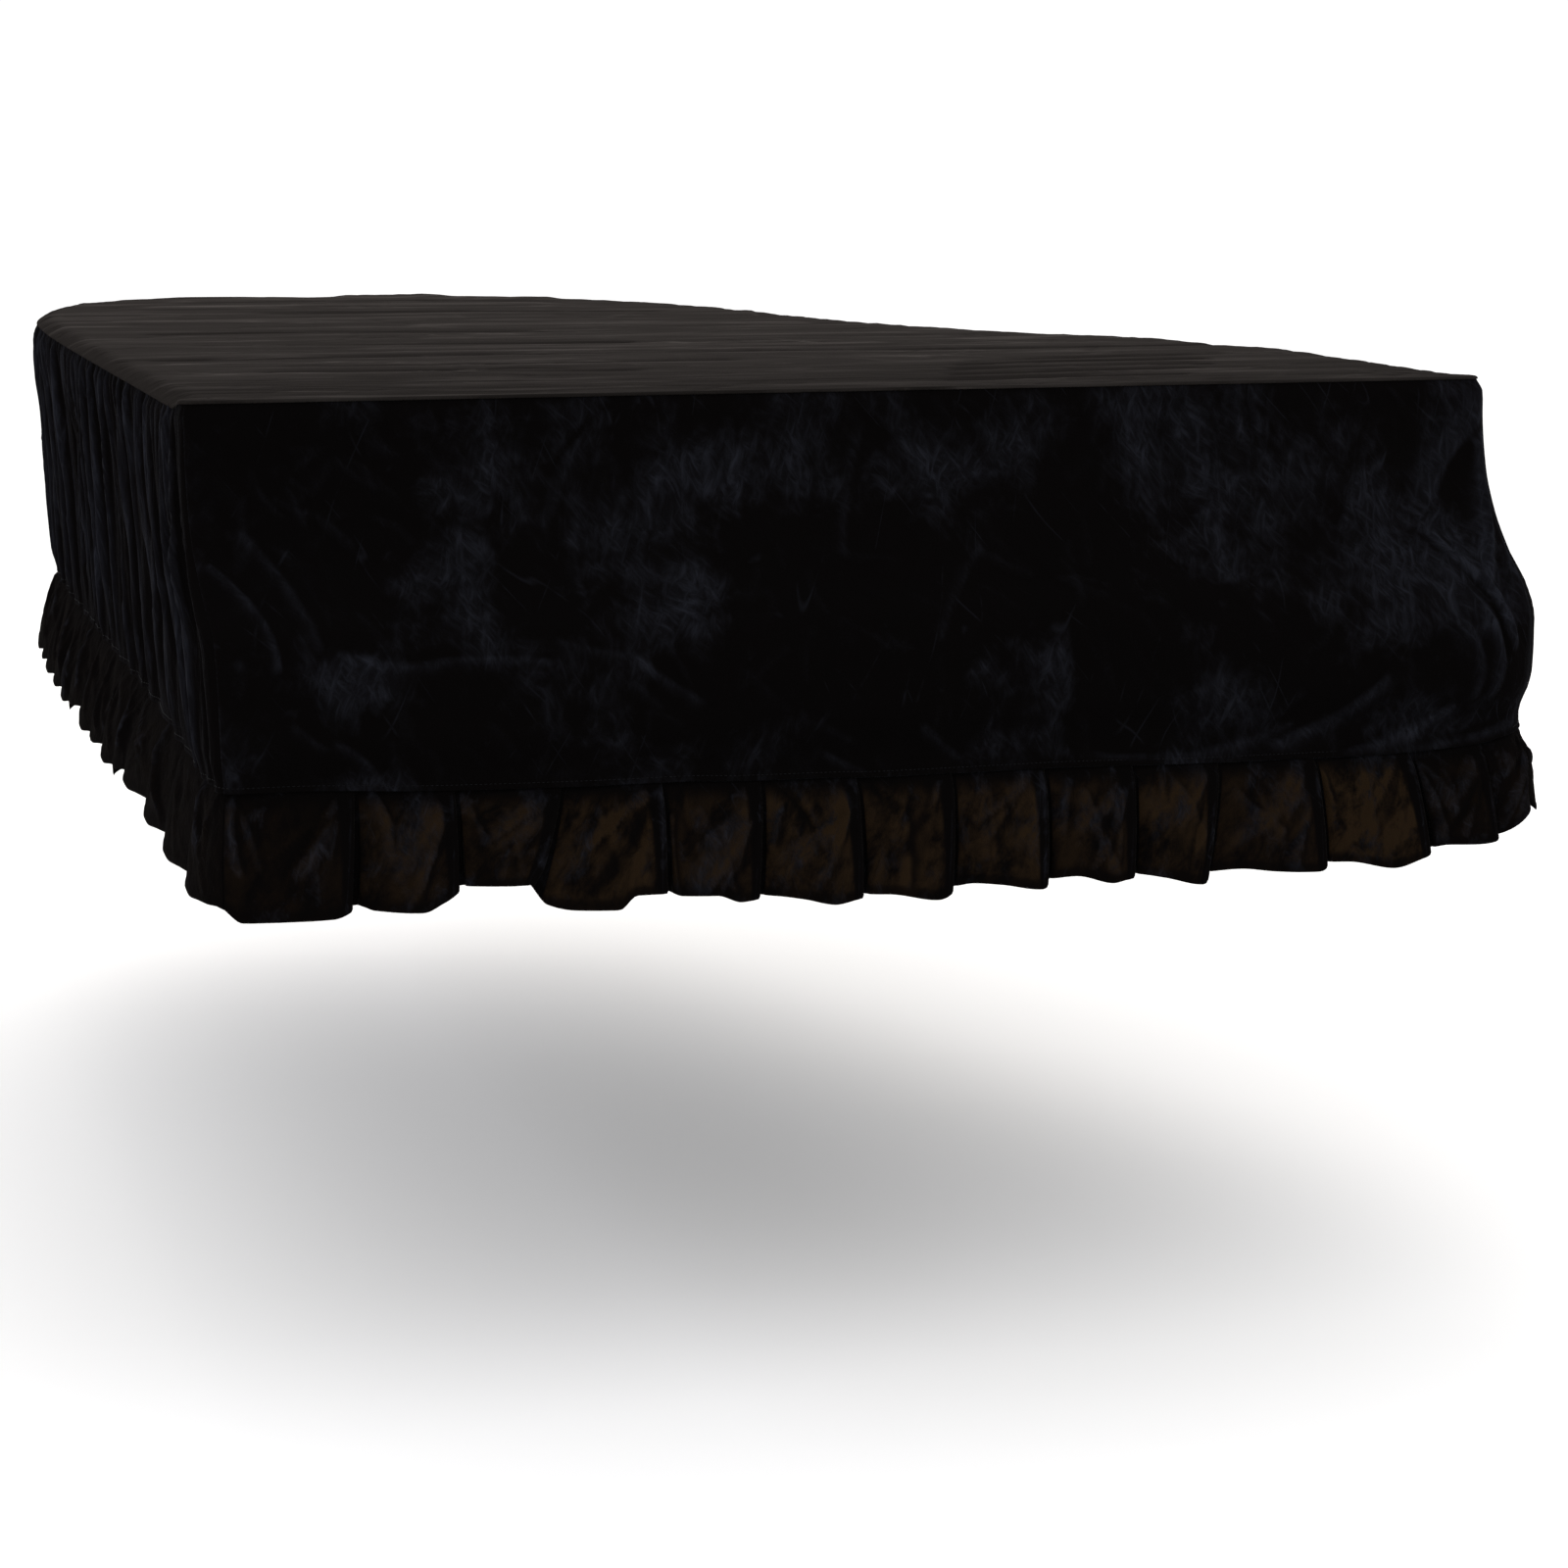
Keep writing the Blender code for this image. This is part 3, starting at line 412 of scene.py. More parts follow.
def outline(place, depth):
    """Points of the outline at distances round it, its front corners rounder the lower they are."""
    x, y = sharp_outline(place)
    for corner_place, sign, name in ((0.0, -1, "left_radius"), (WIDTH, 1, "right_radius")):
        radius = table(CORNERS, CORNER_COLUMNS, name, depth)
        along = np.mod(place - corner_place + ROUND / 2, ROUND) - ROUND / 2
        turn = (along / radius + 1.0) * math.pi / 4
        start = math.pi if sign < 0 else -math.pi / 2
        centre_x = sign * (WIDTH / 2 - radius)
        near = np.abs(along) < radius
        x = np.where(near, centre_x + radius * np.cos(start + turn), x)
        y = np.where(near, FRONT_Y + radius + radius * np.sin(start + turn), y)
    return x, y


def outward(place, depth, step=0.006):
    """The level direction that points away from the cover, at distances round it."""
    x0, y0 = outline(place - step, depth)
    x1, y1 = outline(place + step, depth)
    length = np.hypot(x1 - x0, y1 - y0)
    return (y1 - y0) / length, (x0 - x1) / length


def front_share(y):
    """1 along the front, fading to 0 back along the sides."""
    return 1.0 - smooth_step((y - FRONT_Y) / REACH_FADES_OVER)


def forward_reach(x, y, depth):
    """How far the cloth stands forward here."""
    left, middle, right = (table(REACH, REACH_COLUMNS, name, depth) for name in ("left", "middle", "right"))
    across = np.clip(x / (WIDTH / 2), -1.0, 1.0)
    end = np.where(across < 0, left, right)
    return (middle + (end - middle) * np.abs(across) ** REACH_END_POWER) * front_share(y)


def wall(place, depth, out):
    """A point of the hanging cloth: round the outline, below the top, and pushed out by a fold."""
    x, y = outline(place, depth)
    nx, ny = outward(place, depth)
    at_right = smooth_step((x - RIGHT_SWELL_FROM_X) / (WIDTH / 2 - RIGHT_SWELL_FROM_X)) * front_share(y)
    swell = table(CORNERS, CORNER_COLUMNS, "swell", depth)
    push = out + swell + at_right * table(CORNERS, CORNER_COLUMNS, "right_swell", depth)
    push -= (1.0 - front_share(y)) * table(CORNERS, CORNER_COLUMNS, "lean", depth)
    return np.stack([x + nx * push, y + ny * push - forward_reach(x, y, depth), -depth + 0.0 * x], -1)


def top_turn(place):
    """How far below the top the edge seam runs: least along the front."""
    along = np.mod(place - WIDTH / 2 + ROUND / 2, ROUND) - ROUND / 2
    beyond_corner = np.abs(along) - WIDTH / 2
    return FRONT_TURN + (EDGE_TURN - FRONT_TURN) * smooth_step(beyond_corner / CORNER_ZONE)


def hang(column, place):
    """The height of the ruffle's seam or hem, at distances round the cover."""
    place = np.mod(place, ROUND)
    front = FRONT_SEAM if column == "seam_z" else FRONT_HEM
    along_front = table(front, ("x", "z"), "z", place - WIDTH / 2)
    return np.where(place < WIDTH, along_front, table(HANG, HANG_COLUMNS, column, place / ROUND))


def gathers(pitch, unevenness, seed):
    """Fold crests along the skirt, from the right front corner round to the left one."""
    crests = [WIDTH]
    while crests[-1] < ROUND:
        crests.append(crests[-1] + pitch * (1.0 + unevenness * uneven(len(crests), seed)))
    crests = np.array(crests)
    return WIDTH + (crests - WIDTH) * (ROUND - WIDTH) / (crests[-1] - WIDTH)


MAIN_CRESTS = gathers(GATHER_PITCH, GATHER_UNEVEN, 0.0)
MAIN_DEPTHS = np.array([GATHER_DEPTH * (1.0 + GATHER_DEPTH_UNEVEN * uneven(number, 0.4))
                        for number in range(len(MAIN_CRESTS))])


def main_gathers(place, share_down):
    """The skirt's main gathers, as its solids have them."""
    count = np.interp(place, MAIN_CRESTS, np.arange(len(MAIN_CRESTS)))
    depth = np.interp(place, MAIN_CRESTS, MAIN_DEPTHS)
    wander = GATHER_WANDER * np.sin(GATHER_WANDER_TURNS * share_down + GATHER_WANDER_STEP * np.floor(count))
    return depth * np.cos(2 * math.pi * (count + wander * np.sin(math.pi * (count % 1.0)) ** 2))


# The finer gathers: how unevenly spaced and how unevenly deep they are, how they lean and sway going down,
# and how much rounder their crests are than their troughs
FINER_SPACING_UNEVEN = 0.45
FINER_DEPTH_UNEVEN = 0.65
FINER_LEAN = 0.35
FINER_LEAN_OVER = 3
FINER_LEAN_DOWN = 2.2
FINER_SWAY = 0.5
FINER_SWAY_TURNS = 2.4
FINER_SWAY_CHANGES = 5.0
FINER_SWAY_OVER = 0.30
FINER_ROUND_CREST = 0.28


def finer_gathers(place, share_down, pitch, depth, seed):
    """A set of finer gathers, each of its own depth, whose crests are rounder than their troughs."""
    crests = gathers(pitch, FINER_SPACING_UNEVEN, seed)
    depths = np.array([depth * (1.0 + FINER_DEPTH_UNEVEN * uneven(number, seed + 0.2))
                       for number in range(len(crests))])
    lean = FINER_LEAN * pitch * noise(place / (FINER_LEAN_OVER * pitch), share_down * FINER_LEAN_DOWN, 11)
    changes = FINER_SWAY_CHANGES * noise(place / FINER_SWAY_OVER, 0.0 * place, 12)
    sway = FINER_SWAY * pitch * np.sin(FINER_SWAY_TURNS * share_down + changes)
    at = np.clip(place + (lean + sway), WIDTH, ROUND)
    turn = 2 * math.pi * np.interp(at, crests, np.arange(len(crests)))
    return np.interp(at, crests, depths) * (np.cos(turn) + FINER_ROUND_CREST * (np.cos(2 * turn) - 0.5))


def skirt_fold(place, share_down, sizes):
    """How far the skirt's gathers push the cloth out or in."""
    fade = smooth_step(np.minimum(place - WIDTH, ROUND - place) / GATHER_FADES_OVER)
    share = {name: table(GATHER, GATHER_COLUMNS, name, share_down) for name in ("main", "middle", "fine")}
    out = share["main"] * main_gathers(place, share_down)
    pitch, depth = sizes.gather_pitch, sizes.gather_depth
    out += share["middle"] * finer_gathers(place, share_down, 2 * pitch, depth, 0.31)
    out += share["fine"] * finer_gathers(place, share_down, pitch, depth / 2, 0.77)
    return out * fade


def front_fold(place, share_down):
    """How far the front panel's few soft folds push the cloth out or in."""
    x = place - WIDTH / 2
    out = np.zeros_like(x)
    for fold in FRONT_FOLDS:
        row = dict(zip(FRONT_FOLD_COLUMNS, fold))
        centre = row["x"] + row["slant"] * share_down
        middle = (row["from_share"] + row["to_share"]) / 2
        half = (row["to_share"] - row["from_share"]) / 2
        ends = np.clip(1.0 - ((share_down - middle) / half) ** 2, 0.0, 1.0) ** 1.5
        out += row["depth"] * ends * np.exp(-((x - centre) / row["width"]) ** 2)
    return out * smooth_step(np.minimum(place, WIDTH - place) / GATHER_FADES_OVER)


# How a seam is made: the lower cloth starts behind the upper one's edge, and the edge stands up in a lip
TUCK_UP = 0.010
TUCK_IN = 0.0030
TUCK_FADES_BY = 0.030
# How far a skirt's upright seam is turned in behind the next width of cloth
ALLOWANCE = 0.004
ALLOWANCE_IN = 0.0026


def hanging_point(place, share_down, fold):
    """A point of the front panel or the skirt, tucked in behind the top's edge."""
    top = top_turn(place) + SEAM_GAP
    drop = -hang("seam_z", place) - top
    tuck = TUCK_IN * (1.0 - smooth_step((share_down + TUCK_UP) / (TUCK_FADES_BY + TUCK_UP)))
    return wall(place, top + drop * share_down, fold - tuck)


# How the ruffle opens below its seam, where its pleats are pressed together
PLEATS_OPEN_BY = 0.16
PLEATS_OPEN_FROM = -0.04
PRESSED_SHARE = 0.55
PRESSED_IN = 0.0026


def ruffle_point(place, share_down, out):
    """A point of the ruffle, pushed out by its pleats and tucked in behind the seam."""
    top = -hang("seam_z", place) + SEAM_GAP
    drop = -hang("hem_z", place) - top
    opened = smooth_step((share_down - PLEATS_OPEN_FROM) / (PLEATS_OPEN_BY - PLEATS_OPEN_FROM))
    pressed = out * (PRESSED_SHARE + (1 - PRESSED_SHARE) * opened) - PRESSED_IN * (1 - opened)
    return wall(place, top + drop * share_down, pressed - RUFFLE_SET_IN)


def grid_normals(grid):
    """The outward direction at each point of a grid of rows going down and columns going round."""
    normal = np.cross(np.gradient(grid, axis=0), np.gradient(grid, axis=1))
    return normal / np.maximum(np.linalg.norm(normal, axis=2, keepdims=True), 1e-9)


# A crease's section and ends, counted in its widths, and how much higher the cloth stands on one side of it
CREASE_REACH = 4
CREASE_RUN_OUT = 3
CREASE_ROUND = 1.5
ONE_SIDE = 0.4
ONE_SIDE_REACH = 2.5


def crease_relief(u, v, creases):
    """Heights of creases given by both ends, a sideways bow, a width and a height, all in metres."""
    relief = np.zeros_like(u)
    for u0, v0, u1, v1, bow, width, height in creases:
        length = math.hypot(u1 - u0, v1 - v0)
        along_u, along_v = (u1 - u0) / length, (v1 - v0) / length
        reach = CREASE_REACH * width + abs(bow)
        near = (u > min(u0, u1) - reach) & (u < max(u0, u1) + reach)
        near &= (v > min(v0, v1) - reach) & (v < max(v0, v1) + reach)
        du, dv = u[near] - u0, v[near] - v0
        t = (du * along_u + dv * along_v) / length
        aside = (dv * along_u - du * along_v - 4 * bow * t * (1 - t)) / width
        run_out = CREASE_RUN_OUT * width
        ends = smooth_step(t * length / run_out + 0.5) * smooth_step((1 - t) * length / run_out + 0.5)
        one_side = ONE_SIDE * np.tanh(aside) * np.exp(-(aside / ONE_SIDE_REACH) ** 2)
        relief[near] += height * ends * (np.exp(-np.abs(aside) ** CREASE_ROUND) + one_side)
    return relief


# Small crumples: how wide and how long they are, how they turn with their place on the cloth, and how much
# stronger they are where they crowd; some are dents
CRUMPLE_WIDTHS = (0.0026, 0.0052)
CRUMPLE_LENGTHS = (0.35, 1.3)
CRUMPLE_BOW = 0.06
CRUMPLE_TURN = 0.9
CRUMPLE_TURNS_OVER = 0.16
CRUMPLE_TURN_UNEVEN = 0.55
CRUMPLE_STRENGTHS = (0.35, 1.0)
CRUMPLES_CROWD_OVER = (0.11, 0.09)
CRUMPLES_EVERYWHERE = 0.45
CRUMPLES_IN_CROWDS = 0.9
CROWDS_FROM = -0.35
CRUMPLE_SIGNS = (1.0, -0.6)


def crumples(area, count, size, height, steep, seed):
    """Many small creases strewn over an area of cloth: (u from, u to, v from, v to)."""
    draw = np.random.default_rng(seed)
    u0, u1, v0, v1 = area
    centres = draw.random((count, 2)) * (u1 - u0, v1 - v0) + (u0, v0)
    across, up = CRUMPLES_CROWD_OVER
    crowds = noise(centres[:, 0] / across, centres[:, 1] / up, seed)
    turns = noise(centres[:, 0] / CRUMPLE_TURNS_OVER, centres[:, 1] / CRUMPLE_TURNS_OVER, seed + 1)
    rows = []
    for (u, v), crowd, turn in zip(centres, crowds, turns):
        angle = steep + CRUMPLE_TURN * float(turn) + draw.normal(0.0, CRUMPLE_TURN_UNEVEN)
        length = size * draw.uniform(*CRUMPLE_LENGTHS)
        strength = draw.uniform(*CRUMPLE_STRENGTHS)
        strength *= CRUMPLES_EVERYWHERE + CRUMPLES_IN_CROWDS * max(0.0, crowd - CROWDS_FROM)
        strength *= draw.choice(CRUMPLE_SIGNS)
        half_u, half_v = length / 2 * math.cos(angle), length / 2 * math.sin(angle)
        bow = length * draw.normal(0.0, CRUMPLE_BOW)
        width = draw.uniform(*CRUMPLE_WIDTHS)
        rows.append((u - half_u, v - half_v, u + half_u, v + half_v, bow, width, height * strength))
    return rows


def layer_faces(rows, columns):
    """Quads of a grid of points, its outer layer first, closed round its rims to a second layer."""
    index = np.arange(rows * columns).reshape(rows, columns)
    a, b, c, d = index[:-1, :-1], index[:-1, 1:], index[1:, 1:], index[1:, :-1]
    under = rows * columns
    outer = np.stack([a, d, c, b], -1).reshape(-1, 4)
    inner = np.stack([a, b, c, d], -1).reshape(-1, 4) + under
    rim = np.concatenate([index[0], index[1:, -1], index[-1, -2::-1], index[-2:0:-1, 0]])
    after = np.roll(rim, -1)
    return np.concatenate([outer, inner, np.stack([rim, after, after + under, rim + under], -1)])


def cloth_mesh(name, points, faces, flat, values):
    """One named object of cloth with its flat pattern as UV map, in metres, and values at its points."""
    mesh = bpy.data.meshes.new(name)
    mesh.from_pydata(points.tolist(), [], faces)
    corners = np.empty(len(mesh.loops), np.int32)
    mesh.loops.foreach_get("vertex_index", corners)
    mesh.uv_layers.new(name="cloth").data.foreach_set("uv", flat[corners].astype(np.float32).ravel())
    for label, value in values.items():
        mesh.attributes.new(label, "FLOAT", "POINT").data.foreach_set("value", value.astype(np.float32))
    mesh.shade_smooth()
    mesh.update()
    piece = bpy.data.objects.new(name, mesh)
    bpy.context.scene.collection.objects.link(piece)
    return piece


def thick_cloth(name, grid, thickness, flat, values):
    """Closes a grid of middle points into a sheet, thick as given at each point."""
    half = grid_normals(grid) * thickness[..., None] / 2
    rows, columns = grid.shape[:2]
    points = np.concatenate([(grid + half).reshape(-1, 3), (grid - half).reshape(-1, 3)])
    flat = np.concatenate([flat.reshape(-1, 2)] * 2)
    values = {label: np.concatenate([value.ravel()] * 2) for label, value in values.items()}
    return cloth_mesh(name, points, layer_faces(rows, columns).tolist(), flat, values)


def flat_pattern(grid):
    """Where each point lay on the flat cloth: lengths along the middle row and down each column."""
    along = measure_round(grid[grid.shape[0] // 2])
    down = np.cumsum(np.linalg.norm(np.diff(grid, axis=0), axis=2), axis=0).mean(axis=1)
    down = np.concatenate([[0.0], down])
    return np.stack(np.meshgrid(along, down), -1)


def declare(piece, node, material):
    """Gives a finished sheet its finish, hangs it under the root body and hides the solid that it stands for.
    """
    piece.data.materials.append(material)
    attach(piece, "root")
    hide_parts(node)


def add_node(tree, kind, inputs=None, **settings):
    """Adds a node, sets it up, and gives its inputs numbers, colours or other nodes' outputs."""
    node = tree.nodes.new(kind)
    for name, value in settings.items():
        setattr(node, name, value)
    for name, value in (inputs or {}).items():
        if isinstance(value, bpy.types.NodeSocket):
            tree.links.new(value, node.inputs[name])
        else:
            node.inputs[name].default_value = value
    return node


def mixed(tree, share, first, second):
    """The colour between two, by a share."""
    return add_node(tree, "ShaderNodeMix", {0: share, 6: first, 7: second}, data_type="RGBA").outputs[2]


def maths(tree, operation, *values, clamp=False):
    """The result of one sum on two or three values."""
    node = add_node(tree, "ShaderNodeMath", dict(enumerate(values)), operation=operation, use_clamp=clamp)
    return node.outputs[0]


def ramp(tree, value, low, high, bottom=0.0, top=1.0):
    """A value brought smoothly from one range to another."""
    node = add_node(tree, "ShaderNodeMapRange", {"Value": value, "From Min": low, "From Max": high,
                                                 "To Min": bottom, "To Max": top},
                    interpolation_type="SMOOTHSTEP")
    return node.outputs[0]


def cloth_noise(tree, place, size, turn=0.0, detail=4.0, roughness=0.6, distortion=0.0):
    """Unevenness on the flat cloth, with grains of a width and length in metres, turned by some degrees."""
    laid = add_node(tree, "ShaderNodeMapping", {"Vector": place, "Rotation": (0.0, 0.0, math.radians(turn)),
                                                "Scale": (size[0], size[1], 1.0)}, vector_type="TEXTURE")
    settings = {"Scale": 1.0, "Detail": detail, "Roughness": roughness, "Distortion": distortion}
    return add_node(tree, "ShaderNodeTexNoise", {"Vector": laid.outputs[0], **settings}).outputs


def point_value(tree, name):
    """A value that the cloth's points carry."""
    return add_node(tree, "ShaderNodeAttribute", attribute_name=name).outputs[2]


# The range of a noise within which each pattern of the velvet fades in
PATCHES_RANGE = (0.46, 0.70)
STROKES_RANGE = (0.42, 0.78)
THIN_SHOWN_RANGE = (0.50, 0.68)
BLOTCHES_RANGE = (0.34, 0.66)
# How far a listed patch of brushed pile and painted light shifts that range, and how far the patches'
# outlines sway, in patches
LISTED_PILE_AND_LIGHT_SHIFT = 0.16
PATCH_SWAY = 0.5
# The pile's grain, drawn as coarse as the render can show; the thin creases, in strokes, and their line, as a
# share of the noise it follows; and the stretches of cloth that show them
GRAIN = 0.0024
GRAIN_STRENGTH = 0.12
THIN_WIDER = 5
THIN_LONGER = 8
THIN_LINE = 0.016
THIN_SHOWN_OVER = (0.07, 0.07)
THIN_SHOWN_TURN = -20.0
THIN_STRENGTH = 0.30
# How much the pile leans between strokes, and how much the painted light and shade of a crease shows there
# and on a stroke
BETWEEN_STROKES = 0.15
CREASE_BETWEEN_STROKES = 0.35
# The blotches of light in one layer of the ruffle
BLOTCH = (0.030, 0.055)
BLOTCH_TURN = 24.0
BLOTCH_BRIGHTEST = 1.25
# The height of the pile's strokes, as bump, and what stands up in it
PILE_HEIGHT = 0.0016
PILE_STRENGTH = 0.7
STROKE_HEIGHT = 0.5
GRAIN_HEIGHT = 0.10


def pile_and_painted_light_patches(tree, bent, patch):
    """Where the pile leans in patches: by chance, and in the listed patches, which also carry painted light
    and shade.
    """
    level = cloth_noise(tree, bent, patch, roughness=0.66)[0]
    shifted = maths(tree, "MULTIPLY_ADD", point_value(tree, "brushed_and_painted_light"), LISTED_PILE_AND_LIGHT_SHIFT, level)
    return ramp(tree, shifted, *PATCHES_RANGE)


def brush_strokes(tree, bent, strokes):
    """Feathered strokes in which the pile leans, given by their turn, width and length."""
    strongest = 0.0
    for turn, width, length in strokes:
        level = cloth_noise(tree, bent, (width, length), turn, 5.0, 0.62, 0.4)[0]
        strongest = maths(tree, "MAXIMUM", strongest, ramp(tree, level, *STROKES_RANGE))
    return strongest


def thin_creases(tree, cloth, strokes):
    """Long thin creases near the strokes' turns, in the stretches of cloth that show them."""
    lines = 0.0
    for turn, width, length in strokes:
        level = cloth_noise(tree, cloth, (THIN_WIDER * width, THIN_LONGER * length), turn, 0.0)[0]
        off_line = maths(tree, "ABSOLUTE", maths(tree, "SUBTRACT", level, 0.5))
        lines = maths(tree, "MAXIMUM", lines, ramp(tree, off_line, 0.0, THIN_LINE, 1.0, 0.0))
    shown = cloth_noise(tree, cloth, THIN_SHOWN_OVER, THIN_SHOWN_TURN, 3.0)[0]
    return maths(tree, "MULTIPLY", lines, ramp(tree, shown, *THIN_SHOWN_RANGE))


# Each part's velvet: its sheen and the sheen's tint, the width and length of its brushed patches, and the
# turn, width and length of the strokes in them
VELVETS = {
    # The top is brushed in long streaks along the width, and a little warmer
    "top": (0.020, "#e8ddd6", (0.42, 0.05), ((90.0, 0.010, 0.24),)),
    # The front lies flat in broad patches, and its sheen is the bluest
    "front": (0.022, "#d8def0", (0.13, 0.16), ((18.0, 0.009, 0.040), (-34.0, 0.008, 0.030))),
    # The skirt is brushed down along its gathers
    "skirt": (0.025, "#dcdde6", (0.05, 0.20), ((6.0, 0.006, 0.060), (-9.0, 0.005, 0.045))),
    # The ruffle is brushed in small patches, crossing its pleats
    "ruffle": (0.018, "#e2dcd6", (0.045, 0.06), ((14.0, 0.006, 0.030), (-40.0, 0.005, 0.020)))}


# Crushed velvet is a knitted ground with a dense short pile, wetted and pressed so that the pile lies in
# brushed patches: black where it is seen end on, blue-grey in feathered strokes where it leans, lightest when
# grazed.
def crushed_velvet(name, part, pile, leaning, even=0.0, glow=None):
    """The velvet of one part of the cover; even is how much its pile leans everywhere."""
    sheen, sheen_tint, patch, strokes = VELVETS[part]
    material = bpy.data.materials.new(name)
    material.use_nodes = True
    tree = material.node_tree
    shader = tree.nodes["Principled BSDF"]
    cloth = add_node(tree, "ShaderNodeUVMap", uv_map="cloth").outputs[0]
    sway = cloth_noise(tree, cloth, patch, detail=2.0)[1]
    reach = (PATCH_SWAY * patch[0], PATCH_SWAY * patch[1], 0.0)
    swayed = add_node(tree, "ShaderNodeVectorMath", {0: sway, 1: reach, 2: cloth}, operation="MULTIPLY_ADD")
    bent = swayed.outputs[0]

    brushed_and_painted_light = pile_and_painted_light_patches(tree, bent, patch)
    stroke = brush_strokes(tree, bent, strokes)
    thin = thin_creases(tree, cloth, strokes)
    grain = cloth_noise(tree, cloth, (GRAIN, GRAIN), detail=2.0)[0]
    feather = maths(tree, "MULTIPLY_ADD", stroke, 1 - BETWEEN_STROKES, BETWEEN_STROKES)
    lean = maths(tree, "MULTIPLY_ADD", brushed_and_painted_light, feather, even)
    lean = maths(tree, "ADD", lean, maths(tree, "MULTIPLY_ADD", grain, GRAIN_STRENGTH, -GRAIN_STRENGTH / 2))
    lean = maths(tree, "MULTIPLY_ADD", thin, THIN_STRENGTH, lean)
    # The points carry painted highlight and painted shade of creases, folds, rims and bands, partly the pile
    # parted along creases; it shows most on the strokes
    shows = maths(tree, "MULTIPLY_ADD", stroke, 1.0, CREASE_BETWEEN_STROKES)
    lean = maths(tree, "ADD", maths(tree, "MULTIPLY", point_value(tree, "crease_pile_and_painted_light"), shows), lean, clamp=True)
    colour = mixed(tree, lean, pile, leaning)
    if glow:
        # One layer of the ruffle lets warm light through; folds and seams, with more layers, don't
        level = cloth_noise(tree, bent, BLOTCH, BLOTCH_TURN, 5.0, 0.7)[0]
        blotch = ramp(tree, level, *BLOTCHES_RANGE, 0.0, BLOTCH_BRIGHTEST)
        light = maths(tree, "MULTIPLY", point_value(tree, "painted_glow_and_shade"), blotch, clamp=True)
        colour = mixed(tree, light, colour, glow)
    tree.links.new(colour, shader.inputs["Base Color"])

    strokes_up = maths(tree, "MULTIPLY", stroke, STROKE_HEIGHT)
    strokes_up = maths(tree, "MULTIPLY_ADD", thin, STROKE_HEIGHT, strokes_up)
    height = maths(tree, "MULTIPLY_ADD", grain, GRAIN_HEIGHT, strokes_up)
    bump = add_node(tree, "ShaderNodeBump", {"Height": height, "Strength": PILE_STRENGTH,
                                             "Distance": PILE_HEIGHT}).outputs[0]
    tree.links.new(bump, shader.inputs["Normal"])
    shader.inputs["Roughness"].default_value = 0.85
    shader.inputs["IOR"].default_value = 1.45
    shader.inputs["Specular IOR Level"].default_value = 0.0
    shader.inputs["Sheen Weight"].default_value = sheen
    shader.inputs["Sheen Roughness"].default_value = 0.30
    shader.inputs["Sheen Tint"].default_value = linear(sheen_tint)
    return material


TWIST_PITCH = 0.0011


# Polyester sewing thread is smooth and twisted, so it catches a thin line of light that the pile doesn't
def sewing_thread(colour):
    """The black thread of the seam stitches."""
    material = bpy.data.materials.new("sewing_thread")
    material.use_nodes = True
    tree = material.node_tree
    shader = tree.nodes["Principled BSDF"]
    place = add_node(tree, "ShaderNodeTexCoord").outputs["Object"]
    twist = add_node(tree, "ShaderNodeTexNoise", {"Vector": place, "Scale": 1 / TWIST_PITCH}).outputs[0]
    tree.links.new(mixed(tree, twist, colour, linear("#0f0f12")), shader.inputs["Base Color"])
    bump = add_node(tree, "ShaderNodeBump", {"Height": twist, "Strength": 0.5, "Distance": 0.0003}).outputs[0]
    tree.links.new(bump, shader.inputs["Normal"])
    shader.inputs["Roughness"].default_value = 0.55
    shader.inputs["Specular IOR Level"].default_value = 0.08
    return material


class CoverSizes(bpy.types.PropertyGroup):
    """Sizes of the cloth, its finer folds and its sewing."""
    cloth: FloatProperty(name="Cloth", description="Thickness of the velvet with its pile", default=0.0016,
                         unit="LENGTH", precision=4)
    edge: FloatProperty(name="Sewn edge", description="Thickness where an edge is turned and sewn",
                        default=0.0029, unit="LENGTH", precision=4)
    gather_pitch: FloatProperty(name="Gather pitch", description="Distance between the finest gathers",
                                default=0.019, unit="LENGTH", precision=3)
    gather_depth: FloatProperty(name="Gather depth", description="Depth of the middle gathers",
                                default=0.0030, unit="LENGTH", precision=4)
    crush: FloatProperty(name="Crush", description="Height of the velvet's small creases", default=0.0011,
                         unit="LENGTH", precision=4)
    stitch: FloatProperty(name="Stitch", description="Length of one stitch", default=0.0036, unit="LENGTH",
                          precision=4)
    stitch_pitch: FloatProperty(name="Stitch pitch", description="Distance from stitch to stitch",
                                default=0.0050, unit="LENGTH", precision=4)
    thread: FloatProperty(name="Thread", description="Thickness of the thread", default=0.0007, unit="LENGTH",
                          precision=4)


class CoverColours(bpy.types.PropertyGroup):
    """Colours of the velvet and the thread."""
    pile: FloatVectorProperty(name="Pile", description="Pile seen end on", subtype="COLOR", size=4,
                              min=0.0, max=1.0, default=linear("#060505"))
    leaning: FloatVectorProperty(name="Leaning pile", description="Pile that leans away", subtype="COLOR",
                                 size=4, min=0.0, max=1.0, default=linear("#191a1f"))
    glow: FloatVectorProperty(name="Glow", description="Warm light through one layer of the ruffle",
                              subtype="COLOR", size=4, min=0.0, max=1.0, default=linear("#1d150d"))
    thread: FloatVectorProperty(name="Thread", description="Sewing thread", subtype="COLOR", size=4,
                                min=0.0, max=1.0, default=linear("#0a0a0c"))


# The top's unevenness: how far the cross line wanders, how the cloth is drawn in long streaks and lies in
# soft waves, each with its height, its size along x and y and its seed, and the puckers along its edge
CROSS_LINE_WANDER = 0.004
CROSS_LINE_WANDER_OVER = 0.25
CROSS_LINE_ROUND = 1.4
TOP_UNEVENNESS = ((0.0009, 0.42, 0.030, 3), (0.00054, 0.20, 0.014, 4), (0.0016, 0.5, 0.16, 6))
PUCKER_HEIGHT = 0.0016
PUCKER_SIZE = (0.024, 0.05)
PUCKERS_IN = 0.012
PUCKERS_REACH = 0.010


